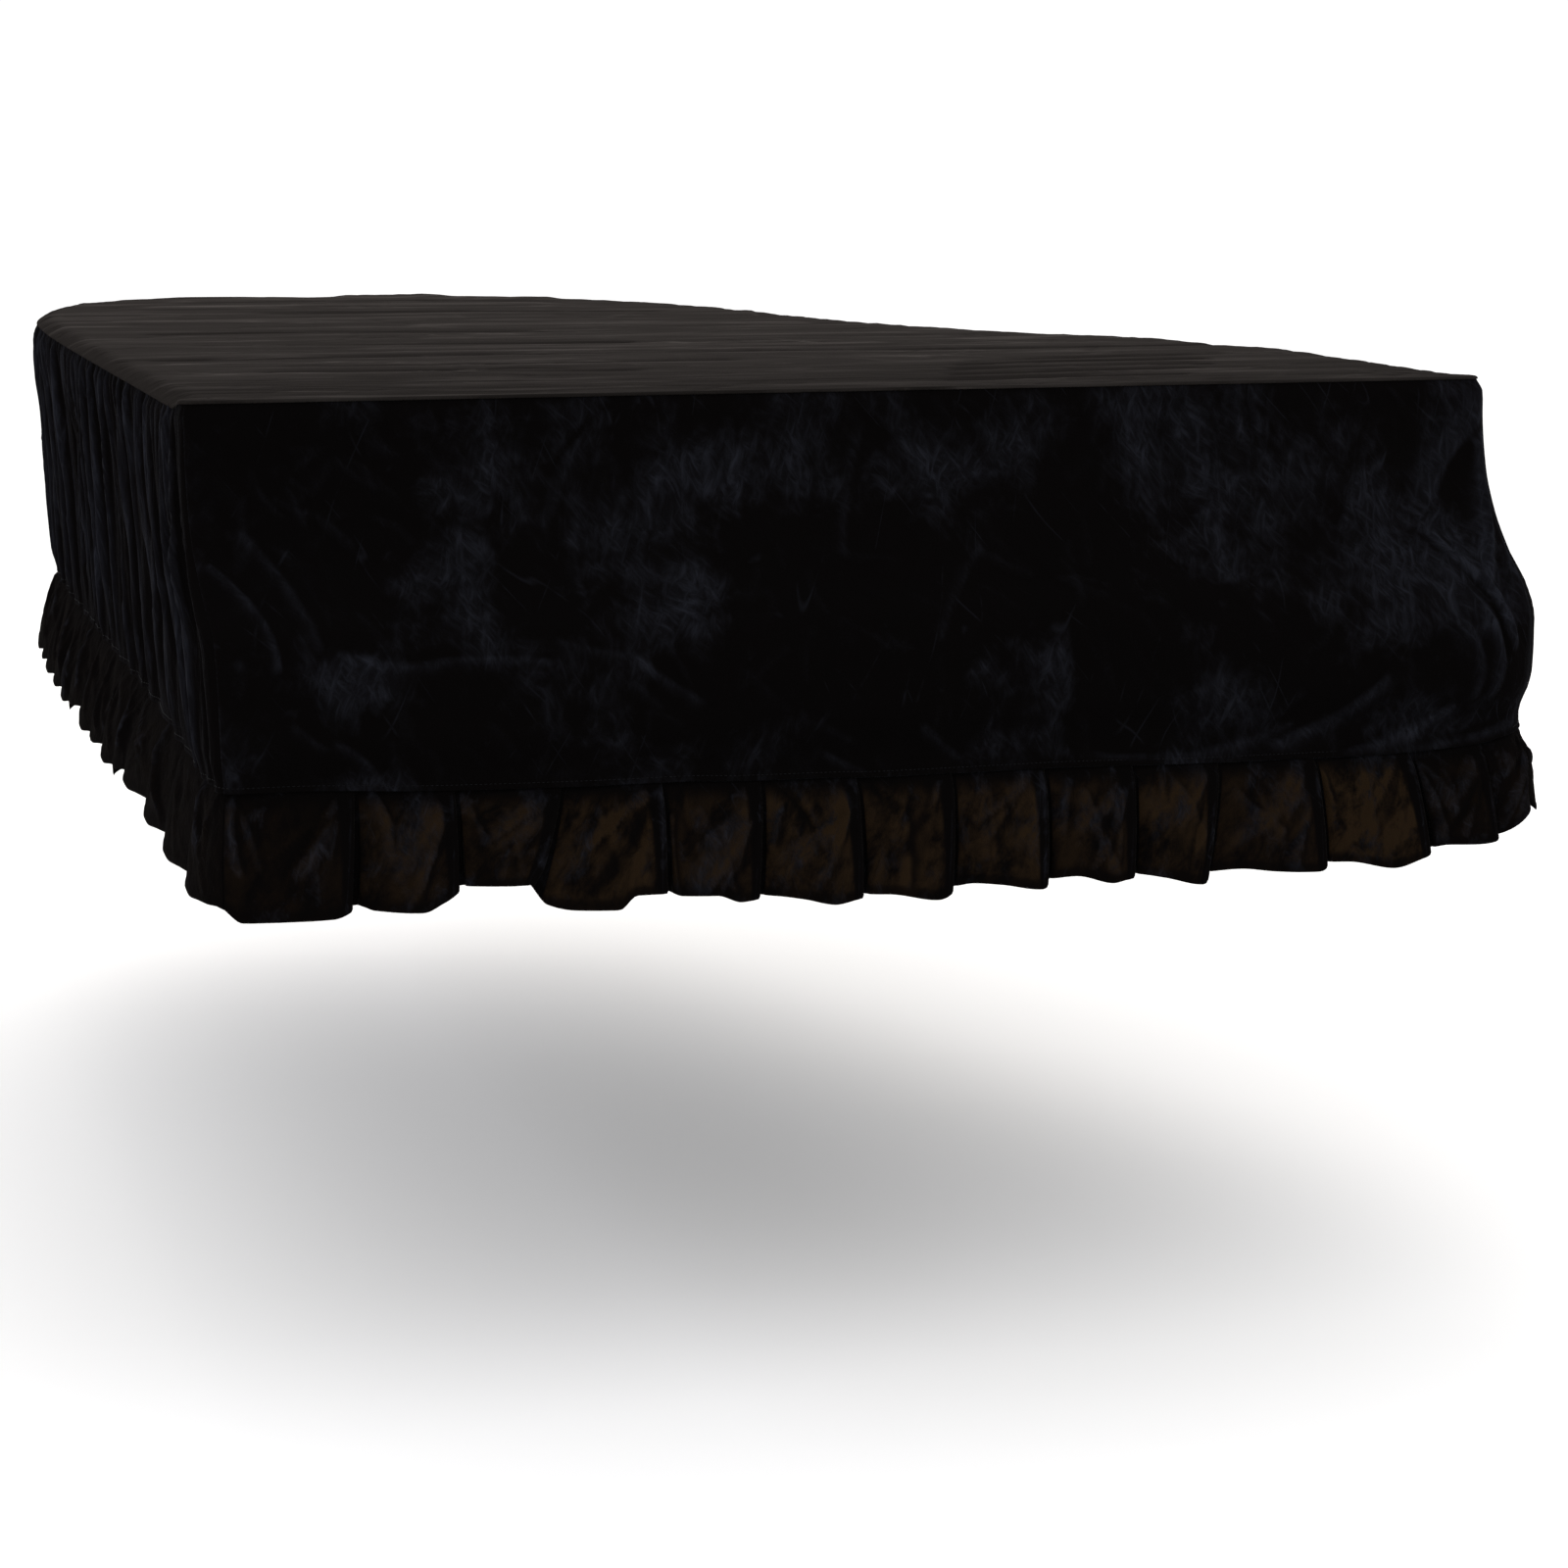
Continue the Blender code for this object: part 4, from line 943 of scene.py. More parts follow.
def top_height(x, y, inward, place):
    """The height of the top's middle layer: level, rolled down at its edge and stepped at the cross line."""
    roll = np.where(top_turn(place) < (EDGE_TURN + FRONT_TURN) / 2, FRONT_ROLL, EDGE_ROLL)
    fall = (1.0 - np.clip(inward / roll, 0.0, 1.0)) ** 2 * (top_turn(place) - 0.001)
    wander = CROSS_LINE_WANDER * noise(x / CROSS_LINE_WANDER_OVER, 0.0 * x, 5)
    from_line = (y - FRONT_Y - CROSS_LINE_Y - wander) / CROSS_LINE_WIDTH
    step = CROSS_LINE_STEP * np.exp(-np.abs(from_line) ** CROSS_LINE_ROUND)
    soft = sum(height * noise(x / wide, y / deep, seed) for height, wide, deep, seed in TOP_UNEVENNESS)
    gathered = smooth_step((top_turn(place) - FRONT_TURN) / (EDGE_TURN - FRONT_TURN))
    ring = np.exp(-((inward - PUCKERS_IN) / PUCKERS_REACH) ** 2) * gathered
    puckers = PUCKER_HEIGHT * noise(place / PUCKER_SIZE[0], inward / PUCKER_SIZE[1], 14) * ring
    return 0.001 - fall + puckers + (soft - step) * smooth_step(inward / EDGE_ROLL)


TOP_RINGS = (0.0, 0.0012, 0.003, 0.005, 0.008, 0.012, 0.017, 0.023, 0.030)
TOP_RING_THICKNESS = (0.8, 1.9, 1.8, 1.2, 1.0, 1.0, 1.0, 1.0, 1.0)
TOP_COLUMN_PITCH = 0.009
TOP_NET = 0.0092
# The turned edge's thickness for which the rings' thickness is given, and the rings that are part of it
EDGE_OF_RINGS = 0.0029
EDGE_RINGS = 3
# How the top's creases are drawn in painted light and shade: the height that shows fully and its limits, and
# how much painted shade darkens the top round the gathered edge, along the cross line and towards the front
TOP_CREASE_SHOWS = 0.0032
TOP_CREASE_LIMITS = (-0.6, 0.5)
RIM_PAINTED_SHADE = 0.45
CROSS_LINE_PAINTED_SHADE = 0.5
FRONT_BAND = 0.45
FRONT_BAND_FADES = 0.35
FRONT_BAND_PAINTED_SHADE = 0.22


def top_places():
    """The places round the edge at which the top's rings have points, closest at the two front corners."""
    corner = CORNER_ZONE / 2
    near = (-0.020, -0.012, -0.008, -0.004, 0.0, 0.004, 0.008, 0.012, 0.020)
    places = [WIDTH + step for step in near] + [step % ROUND for step in near]
    places += list(np.arange(corner, WIDTH - corner + 0.001, TOP_COLUMN_PITCH))
    places += list(np.arange(WIDTH + corner, ROUND - corner + 0.001, TOP_COLUMN_PITCH))
    return np.array(sorted(places))


def top_ring(places, inward):
    """A ring of the top in from its edge; at a front corner it draws in to one point."""
    x, y = outline(places, 0.0 * places)
    nx, ny = outward(places, 0.0 * places)
    ring_x, ring_y = x - nx * inward, y - ny * inward
    share = inward / CORNER_ZONE
    for corner_place, sign in ((0.0, -1), (WIDTH, 1)):
        from_corner = np.abs(np.mod(places - corner_place + ROUND / 2, ROUND) - ROUND / 2)
        near = from_corner < CORNER_ZONE / 2 - SEAM_GAP
        centre_x, centre_y = sign * (WIDTH / 2 - CORNER_ZONE), FRONT_Y + CORNER_ZONE
        ring_x = np.where(near, x + (centre_x - x) * share, ring_x)
        ring_y = np.where(near, y + (centre_y - y) * share, ring_y)
    return np.stack([ring_x, ring_y, top_height(ring_x, ring_y, inward, places)], -1)


def net_inside():
    """An even net of points inside the top's last ring, its rows staggered like bricks."""
    places = np.linspace(0.0, ROUND, 1200, endpoint=False)
    rim_x, rim_y = outline(places, 0.0 * places)
    points = []
    rows = np.arange(FRONT_Y + TOP_RINGS[-1] + 0.6 * TOP_NET, rim_y.max(), 0.87 * TOP_NET)
    for number, y in enumerate(rows):
        crossing = np.nonzero((rim_y > y) != (np.roll(rim_y, -1) > y))[0]
        ends = np.sort(rim_x[crossing])
        x = np.arange(ends[0], ends[-1], TOP_NET) + (number % 2) * TOP_NET / 2
        clear = np.min(np.hypot(x[:, None] - rim_x[None, ::2], y - rim_y[None, ::2]), axis=1)
        points += [(value, y) for value in x[clear > TOP_RINGS[-1] + 0.6 * TOP_NET]]
    return points


class COVER_OT_top_panel(bpy.types.Operator):
    """Makes the top panel with its rolled edge, its cross line and its long soft wrinkles"""
    bl_idname = "piano_cover.top_panel"
    bl_label = "Top panel"

    def execute(self, context):
        sizes = context.scene.cover_sizes
        places = top_places()
        rings = np.array([top_ring(places, inward) for inward in TOP_RINGS])
        count = len(places)
        loose = [Vector(point[:2]) for point in rings[-1]] + [Vector(point) for point in net_inside()]
        edges = [(number, (number + 1) % count) for number in range(count)]
        found = geometry.delaunay_2d_cdt(loose, edges, [], 1, 1e-6)
        net = np.array([point[:] for point in found[0]])
        net = np.column_stack([net, top_height(net[:, 0], net[:, 1], 1.0, ROUND / 2 + 0.0 * net[:, 0])])
        points = np.concatenate([rings.reshape(-1, 3), net[count:]])
        even = np.ones(len(net) - count)
        thick = np.concatenate([np.repeat(TOP_RING_THICKNESS, count), even]) * sizes.cloth
        in_edge = np.arange(len(thick)) < count * EDGE_RINGS
        thick = np.where(in_edge, thick * sizes.edge / EDGE_OF_RINGS, thick)

        inside = smooth_step(np.concatenate([np.repeat(TOP_RINGS, count), even]) / TOP_RINGS[-1])
        creases = [(x0, FRONT_Y + y0, x1, FRONT_Y + y1, bow, width, height)
                   for x0, y0, x1, y1, bow, width, height in TOP_CREASES]
        area = (-WIDTH / 2, WIDTH / 2, FRONT_Y, CAD_BOX[1][1])
        creases += crumples(area, count=420, size=0.16, height=0.9 * sizes.crush, steep=0.0, seed=21)
        relief = crease_relief(points[:, 0], points[:, 1], creases) * inside
        points[:, 2] += relief
        faces = self.faces(count, found[2], len(points))
        normals = self.normals(points, faces)
        half = normals * thick[:, None] / 2
        flat = np.concatenate([points[:, :2]] * 2)
        # Painted shade in the top's dents and painted highlight on its rises, and painted shade on the rolled
        # rim behind the front, along the cross line's step and towards the front edge
        gathered = smooth_step((points[:, 1] - FRONT_Y - 0.02) / 0.03)
        crease_pile_and_painted_light = np.clip(relief / TOP_CREASE_SHOWS, *TOP_CREASE_LIMITS)
        crease_pile_and_painted_light -= RIM_PAINTED_SHADE * (1.0 - inside) * gathered
        from_front = points[:, 1] - FRONT_Y
        crease_pile_and_painted_light -= CROSS_LINE_PAINTED_SHADE * np.exp(-((from_front - CROSS_LINE_Y) / CROSS_LINE_WIDTH) ** 2)
        crease_pile_and_painted_light -= FRONT_BAND_PAINTED_SHADE * smooth_step((FRONT_BAND - from_front) / FRONT_BAND_FADES)
        piece = cloth_mesh("velvet_top_panel", np.concatenate([points + half, points - half]),
                           faces, flat, {"crease_pile_and_painted_light": np.concatenate([crease_pile_and_painted_light] * 2)})
        # The top's pile colours are much lighter than the front's and it leans a little everywhere: painted
        # sheen and painted light from above on the same black velvet, over its brushed streaks
        material = crushed_velvet("brushed_black_velvet_painted_sheen", "top", linear("#151312"), linear("#423e3c"),
                                  even=0.15)
        declare(piece, "top_panel", material)
        return {"FINISHED"}

    @staticmethod
    def faces(count, triangles, under):
        """Quads of the rings and triangles of the net, in two layers closed round the rim."""
        number = np.arange(count)
        after = (number + 1) % count
        faces = np.stack([after, number, under + number, under + after], -1).tolist()
        for ring in range(len(TOP_RINGS) - 1):
            a, b = ring * count + number, ring * count + after
            quads = np.stack([a, b, b + count, a + count], -1)
            faces += quads.tolist() + (quads[:, ::-1] + under).tolist()
        inner = np.array(triangles) + (len(TOP_RINGS) - 1) * count
        return faces + inner.tolist() + (inner[:, ::-1] + under).tolist()

    @staticmethod
    def normals(points, faces):
        """Upward directions at the points of the outer layer, level at the rim."""
        total = np.zeros_like(points)
        for size in (3, 4):
            group = np.array([face for face in faces if len(face) == size and max(face) < len(points)])
            first, second, third = (points[group[:, corner]] for corner in range(3))
            across = np.cross(second - first, third - first)
            for corner in range(size):
                np.add.at(total, group[:, corner], across)
        return total / np.linalg.norm(total, axis=1, keepdims=True)


# Points across the front panel, how much closer they lie at its two ends, and the shares of its drop
FRONT_COLUMNS = 370
CLOSER_AT_ENDS = 0.03
FRONT_SHARES = np.concatenate([[-0.006, -0.002, 0.002, 0.007, 0.013], np.linspace(0.020, 0.985, 108),
                               [0.990, 0.994, 0.997, 1.0]])
# The front's soft unevenness: height, size along and down, and seed
FRONT_UNEVENNESS = ((0.0016, 0.10, 0.12, 8), (0.0008, 0.035, 0.05, 9))
# The heights of its main creases and small crumples whose painted light and shade shows fully, and the limits
# of both
FRONT_CREASE_SHOWS = 0.004
FRONT_CRUMPLE_SHOWS = 0.009
FRONT_CREASE_LIMITS = (-0.4, 0.5)
# How sharply a listed patch of brushed pile and painted light ends
LISTED_PATCH_ENDS = 1.5


class COVER_OT_front_panel(bpy.types.Operator):
    """Makes the smooth front panel with its soft folds and crushed creases"""
    bl_idname = "piano_cover.front_panel"
    bl_label = "Front panel"

    def execute(self, context):
        sizes, colours = context.scene.cover_sizes, context.scene.cover_colours
        even = np.linspace(0.0, 1.0, FRONT_COLUMNS)
        closer = CLOSER_AT_ENDS * np.sin(2 * math.pi * even)
        places = SEAM_GAP / 2 + (WIDTH - SEAM_GAP) * (even - closer)
        place, share = np.meshgrid(places, FRONT_SHARES)
        grid = hanging_point(place, share, front_fold(place, share))
        flat = flat_pattern(grid)
        u, v = flat[..., 0] - flat[0, -1, 0] / 2, flat[..., 1]
        drop = v[-1, 0]
        down = np.interp([row[1::2][:2] for row in FRONT_CREASES], FRONT_SHARES, v[:, 0])
        creases = [(x0, v0, x1, v1, *shape) for (x0, _, x1, _, *shape), (v0, v1) in zip(FRONT_CREASES, down)]
        crumpled = crumples((-WIDTH / 2, WIDTH / 2, 0.0, drop), count=620, size=0.055, height=sizes.crush,
                            steep=1.25, seed=7)
        edges = smooth_step(share / 0.02) * smooth_step((1.0 - share) / 0.03)
        sides = smooth_step(np.minimum(place, WIDTH - place) / 0.02)
        main, small = crease_relief(u, v, creases), crease_relief(u, v, crumpled)
        relief = main + small
        soft = sum(height * noise(u / wide, v / high, seed) for height, wide, high, seed in FRONT_UNEVENNESS)
        grid = grid + grid_normals(grid) * ((relief + soft) * edges * sides)[..., None]
        thick = np.where(share > 0.988, sizes.edge, sizes.cloth)
        # Listed patches of painted light and painted shade, over brushed-up and pressed-flat pile
        brushed_and_painted_light = np.zeros_like(u)
        for x, down, half_width, half_height, strength in LISTED_PILE_AND_LIGHT_PATCHES:
            away = ((place - WIDTH / 2 - x) / half_width) ** 2 + ((share - down) / half_height) ** 2
            brushed_and_painted_light += strength * np.exp(-away ** LISTED_PATCH_ENDS)
        # Painted highlight on the creases' crests and painted shade in their dents, partly the pile parted
        # along them
        crease_pile_and_painted_light = main / FRONT_CREASE_SHOWS + small / FRONT_CRUMPLE_SHOWS
        crease_pile_and_painted_light = np.clip(crease_pile_and_painted_light, *FRONT_CREASE_LIMITS) * edges
        piece = thick_cloth("velvet_front_panel", grid, thick, flat, {"crease_pile_and_painted_light": crease_pile_and_painted_light, "brushed_and_painted_light": brushed_and_painted_light})
        material = crushed_velvet("crushed_black_velvet_front", "front", colours.pile, colours.leaning)
        declare(piece, "front_panel", material)
        return {"FINISHED"}


# Points along the skirt, and the shares of its drop
SKIRT_COLUMN_PITCH = 0.0029
SKIRT_SHARES = np.concatenate([[-0.010, -0.004, 0.003, 0.010, 0.018], np.linspace(0.028, 0.980, 38),
                               [0.988, 0.994, 1.0]])
# Its crumples in a metre, and the share of its drop below which they lie
SKIRT_CRUMPLES = 160
SKIRT_CRUMPLES_FROM = 0.45
# The height of a crease and the depth of a fold whose painted light and shade show fully, how much painted
# shade darkens the skirt below its top, and the limits
SKIRT_CREASE_SHOWS = 0.006
SKIRT_FOLD_SHOWS = 0.010
SKIRT_PAINTED_SHADE = 0.38
SKIRT_CREASE_LIMITS = (-0.8, 0.9)


class COVER_OT_skirt(bpy.types.Operator):
    """Makes the gathered skirt in its joined widths, each gather finer between the main ones"""
    bl_idname = "piano_cover.skirt"
    bl_label = "Gathered skirt"

    def execute(self, context):
        sizes, colours = context.scene.cover_sizes, context.scene.cover_colours
        material = crushed_velvet("crushed_black_velvet_skirt", "skirt", colours.pile, colours.leaning)
        for name, start, end in WIDTHS[1:]:
            count = round((end - start) / SKIRT_COLUMN_PITCH)
            places = np.linspace(start + SEAM_GAP / 2, end - SEAM_GAP / 2, count)
            past_end = [end + ALLOWANCE] if name == "left" else []
            places = np.concatenate([[start - ALLOWANCE], places, past_end])
            place, share = np.meshgrid(places, SKIRT_SHARES)
            fold = skirt_fold(place, share, sizes)
            grid = hanging_point(place, share, fold - ALLOWANCE_IN * ((place < start) | (place > end)))
            flat = flat_pattern(grid)
            drop = flat[-1, 0, 1]
            area = (0.0, flat[0, -1, 0], SKIRT_CRUMPLES_FROM * drop, drop)
            creases = crumples(area, count=int(SKIRT_CRUMPLES * (end - start)), size=0.07,
                               height=1.5 * sizes.crush, steep=1.35, seed=31 + len(name))
            relief = crease_relief(flat[..., 0], flat[..., 1], creases)
            edges = smooth_step(share / 0.05) * smooth_step((1.0 - share) / 0.04)
            ends = smooth_step(np.minimum(place - start, end - place) / 0.015)
            grid = grid + grid_normals(grid) * (relief * edges * ends)[..., None]
            thick = np.where(share > 0.99, sizes.edge, sizes.cloth)
            # Painted highlight on the crests of crumples and gathers, painted shade in their troughs, and
            # painted shade below the skirt's top
            painted_shade = SKIRT_PAINTED_SHADE * smooth_step(share / 0.3)
            crease_pile_and_painted_light = relief / SKIRT_CREASE_SHOWS + fold / SKIRT_FOLD_SHOWS - painted_shade
            crease_pile_and_painted_light = np.clip(crease_pile_and_painted_light, *SKIRT_CREASE_LIMITS)
            piece = thick_cloth(f"velvet_{name}_skirt", grid, thick, flat, {"crease_pile_and_painted_light": crease_pile_and_painted_light})
            declare(piece, f"{name}_skirt", material)
        return {"FINISHED"}


# How unevenly the sides' panels glow
SIDE_GLOW_UNEVEN = 0.8


def side_pleats(start, end):
    """A side's pleats, unevenly spaced: the place of each fold edge, its hem's drop and its panel's glow."""
    count = round((end - start) / PLEAT_PITCH)
    pitch = (end - start) / count
    pleats = []
    for number in range(count):
        shift = PLEAT_UNEVEN * uneven(number, start) if number else 0.0
        edge = start + pitch * (number + shift)
        glow = SIDE_GLOW * (1.0 + SIDE_GLOW_UNEVEN * uneven(number, start + 0.5))
        low = HEM_UNEVEN * uneven(number, start + 0.2)
        pleats.append({"seam": edge, "hem": edge, "low": low, "glow": glow})
    return pleats


def front_pleats():
    """The front's pleats, whose fold edges lie the other way: in order and measured from the right."""
    pleats = [{"seam": 0.0, "hem": 0.0, "low": 0.0, "glow": RIGHT_GLOW}]
    for row in reversed(FRONT_PLEATS):
        pleat = dict(zip(PLEAT_COLUMNS, row))
        pleats.append({"seam": WIDTH / 2 - pleat["seam_x"], "hem": WIDTH / 2 - pleat["hem_x"], "low": 0.0,
                       "glow": pleat["glow"]})
    return pleats


def pleated_columns(pleats, end, lobe, panel_steps):
    """The columns of points across the pleats, as arrays by name: where each lies and on which panel."""
    section = [(number, *row) for number, row in enumerate(PLEAT_SECTION)]
    names = ("row", *PLEAT_SECTION_COLUMNS)
    panel = np.linspace(0.0, 4.0, panel_steps, endpoint=False)
    under = np.linspace(4.0, 10.0, 6 * UNDERFOLD_STEPS, endpoint=False)
    parts = []
    for number, pleat in enumerate(pleats):
        is_last = number == len(pleats) - 1
        after = {"seam": end, "hem": end} if is_last else pleats[number + 1]
        steps = panel if is_last else np.concatenate([panel, under])
        read = {name: table(section, names, name, steps) for name in PLEAT_SECTION_COLUMNS}
        fade = smooth_step(steps / 1.2) if number == 0 else np.ones_like(steps)
        if is_last:
            fade = fade * smooth_step((4.0 - steps) / 1.2)
        part = {"number": np.full_like(steps, number), "across": np.clip(steps / 4.0, 0.0, 1.0),
                "low": (pleat["low"] + lobe * read["lobe"]) * fade,
                "glow": np.full_like(steps, pleat["glow"]),
                "from_edge": (after["seam"] - pleat["seam"]) * read["share"],
                # line marks each fold edge, along which a highlight is painted
                "line": np.exp(-(np.minimum(steps, 10.0 - steps) / 0.13) ** 2) * fade}
        for side in ("seam", "hem"):
            shift = read["past_" + side] * fade
            part[side] = pleat[side] + (after[side] - pleat[side]) * read["share"] + shift
            part["out_" + side] = RUFFLE_SET_IN + (read["out_" + side] - RUFFLE_SET_IN) * fade
        parts.append(part)
    columns = {name: np.concatenate([part[name] for part in parts]) for name in parts[0]}
    first, last = pleats[0]["seam"] + SEAM_GAP / 2, end - SEAM_GAP / 2
    closing = {"seam": last, "hem": last, "out_seam": RUFFLE_SET_IN, "out_hem": RUFFLE_SET_IN, "across": 1.0,
               "number": len(pleats) - 1}
    columns = {name: np.append(part, closing.get(name, 0.0)) for name, part in columns.items()}
    for side in ("seam", "hem"):
        columns[side] = np.clip(columns[side], first, last)
    return columns


def front_columns():
    """The front's columns from left to right."""
    columns = pleated_columns(front_pleats(), WIDTH, 0.0, FRONT_PANEL_STEPS)
    columns = {name: part[::-1] for name, part in columns.items()}
    return {**columns, "seam": WIDTH - columns["seam"], "hem": WIDTH - columns["hem"]}


def panel_creases(columns, u, drop, seed):
    """Soft folds and creases that fan out over each panel of the ruffle from the top of its fold edge."""
    draw = np.random.default_rng(seed)
    rows = []
    for number in range(int(columns["number"].max()) + 1):
        on_panel = (columns["number"] == number) & (columns["across"] < 0.999)
        across, places = columns["across"][on_panel], u[on_panel]
        order = np.argsort(across)
        for kind in range(9):
            from_fold = kind % 3 != 2
            start = draw.uniform(0.02, 0.16) if from_fold else draw.uniform(0.45, 0.95)
            end = start + draw.uniform(0.10, 0.62) if from_fold else start - draw.uniform(-0.10, 0.45)
            top = draw.uniform(0.02, 0.35)
            foot = min(0.99, top + draw.uniform(0.25, 0.75))
            u0, u1 = np.interp([start, min(end, 0.97)], across[order], places[order])
            is_fold = kind == 0
            width = draw.uniform(0.008, 0.012) if is_fold else draw.uniform(0.0026, 0.0050)
            height = draw.uniform(0.0030, 0.0050) if is_fold else draw.uniform(0.0012, 0.0030)
            rows.append((u0, top * drop, u1, foot * drop, draw.normal(0.0, 0.004), width,
                         height * draw.choice((1.0, 1.0, -0.7))))
    return rows


# The ruffle's crumples in a metre of cloth, the least distance between its points that counts as a slope, and
# how much darker its pile is drawn: a little along the front, and along the sides by painted shade
RUFFLE_CRUMPLES = 110
LEAST_STEP = 5e-4
FRONT_RUFFLE_DARKER = 0.12
SIDE_RUFFLE_PAINTED_SHADE = 0.5


class COVER_OT_ruffle(bpy.types.Operator):
    """Makes the knife-pleated ruffle in its joined widths, with its turned hem"""
    bl_idname = "piano_cover.ruffle"
    bl_label = "Pleated ruffle"

    def execute(self, context):
        sizes, colours = context.scene.cover_sizes, context.scene.cover_colours
        material = crushed_velvet("crushed_black_velvet_ruffle", "ruffle", colours.pile, colours.leaning,
                                  glow=colours.glow)
        for name, start, end in WIDTHS:
            rows = np.linspace(0.06, 0.90, 32 if name == "front" else 22)
            shares = np.concatenate([[-0.035, -0.012, 0.006, 0.03], rows, [0.925, 0.95, 0.975, 1.0]])
            if name == "front":
                columns = front_columns()
            else:
                columns = pleated_columns(side_pleats(start, end), end, HEM_LOBE, SIDE_PANEL_STEPS)
            share = np.repeat(shares[:, None], len(columns["seam"]), axis=1)
            opened = np.clip(share, 0.0, 1.0)
            place = columns["seam"] + (columns["hem"] - columns["seam"]) * opened
            out = columns["out_seam"] + (columns["out_hem"] - columns["out_seam"]) * opened ** 1.15
            grid = ruffle_point(place, share, out)
            grid[:, :, 2] -= columns["low"] * opened
            flat = flat_pattern(grid)
            drop = flat[-1, 0, 1]
            creases = panel_creases(columns, flat[0, :, 0], drop, 61 + len(name))
            area = (0.0, flat[0, -1, 0], 0.0, drop)
            creases += crumples(area, count=int(RUFFLE_CRUMPLES * flat[0, -1, 0]), size=0.04,
                                height=sizes.crush, steep=1.2, seed=51 + len(name))
            relief = crease_relief(flat[..., 0], flat[..., 1], creases)
            edges = smooth_step(share / 0.10) * (1.0 - 0.8 * smooth_step((share - 0.8) / 0.2))
            to_fold = 1.0 - columns["across"]
            on_panel = smooth_step(columns["across"] / 0.20 - 0.1) * smooth_step(to_fold / 0.14)
            ends = smooth_step(np.minimum(place - start, end - place) / 0.012)
            grid = grid + grid_normals(grid) * (relief * edges * on_panel * ends)[..., None]
            thick = sizes.cloth + (sizes.edge - sizes.cloth) * smooth_step((share - 0.90) / 0.02)
            thick = np.where(share > 0.999, 0.6 * sizes.cloth, thick)
            folded = FOLDED_AT_SEAM + (FOLDED_AT_HEM - FOLDED_AT_SEAM) * opened
            painted_glow_and_shade = columns["glow"] * smooth_step((columns["from_edge"] - folded) / 0.004)
            painted_glow_and_shade = painted_glow_and_shade * smooth_step(to_fold / 0.05) * smooth_step((share - 0.02) / 0.20)
            painted_glow_and_shade = painted_glow_and_shade * (1.0 - 0.8 * smooth_step((share - 0.88) / 0.06))
            # Painted light and shade on the glow and the pile: lighter where the cloth stands up or slopes
            # one way across the panel, darker where it slopes the other way
            step = np.maximum(np.gradient(flat[..., 0], axis=1), LEAST_STEP)
            tilt = np.gradient(relief * edges * on_panel, axis=1) / step
            painted_glow_and_shade = painted_glow_and_shade * np.clip(0.85 + 1.5 * tilt + relief / 0.006, 0.12, 1.9)
            crease_pile_and_painted_light = np.clip(relief / 0.005 + 0.9 * tilt, -0.5, 0.7)
            # Painted highlight along each fold edge and painted shade where three layers lie folded past it
            layered = 1.0 - smooth_step((columns["from_edge"] - folded) / 0.006)
            crease_pile_and_painted_light += 0.6 * columns["line"] * smooth_step(share / 0.05) - 0.35 * layered
            crease_pile_and_painted_light -= FRONT_RUFFLE_DARKER if name == "front" else SIDE_RUFFLE_PAINTED_SHADE
            values = {"crease_pile_and_painted_light": crease_pile_and_painted_light, "painted_glow_and_shade": painted_glow_and_shade}
            piece = thick_cloth(f"velvet_{name}_ruffle", grid, thick, flat, values)
            declare(piece, f"{name}_ruffle", material)
        return {"FINISHED"}


def stitch_tree(thread_material):
    """A node tree that sews stitches along a path: short rounded bars, evenly spaced, made real last."""
    tree = bpy.data.node_groups.new("row_of_stitches", "GeometryNodeTree")
    for name, kind in (("Path", "NodeSocketGeometry"), ("Stitch length", "NodeSocketFloat"),
                       ("Stitch pitch", "NodeSocketFloat"), ("Thread thickness", "NodeSocketFloat")):
        tree.interface.new_socket(name=name, in_out="INPUT", socket_type=kind)
    tree.interface.new_socket(name="Stitches", in_out="OUTPUT", socket_type="NodeSocketGeometry")
    entry = add_node(tree, "NodeGroupInput").outputs
    path = add_node(tree, "GeometryNodeMeshToCurve", {"Mesh": entry["Path"]}).outputs[0]
    points = add_node(tree, "GeometryNodeCurveToPoints", {"Curve": path, "Length": entry["Stitch pitch"]},
                      mode="LENGTH")
    bar = add_node(tree, "GeometryNodeMeshUVSphere", {"Segments": 6, "Rings": 4, "Radius": 0.5})
    thick = entry["Thread thickness"]
    long = entry["Stitch length"]
    size = add_node(tree, "ShaderNodeCombineXYZ", {"X": thick, "Y": thick, "Z": long}).outputs[0]
    sized = add_node(tree, "GeometryNodeTransform", {"Geometry": bar.outputs[0], "Scale": size}).outputs[0]
    laid = {"Points": points.outputs["Points"], "Instance": sized, "Rotation": points.outputs["Rotation"]}
    sewn = add_node(tree, "GeometryNodeInstanceOnPoints", laid).outputs[0]
    real = add_node(tree, "GeometryNodeRealizeInstances", {"Geometry": sewn}).outputs[0]
    smooth = add_node(tree, "GeometryNodeSetShadeSmooth", {"Geometry": real}).outputs[0]
    finished = add_node(tree, "GeometryNodeSetMaterial", {"Geometry": smooth,
                                                          "Material": thread_material}).outputs[0]
    add_node(tree, "NodeGroupOutput", {"Stitches": finished})
    return tree


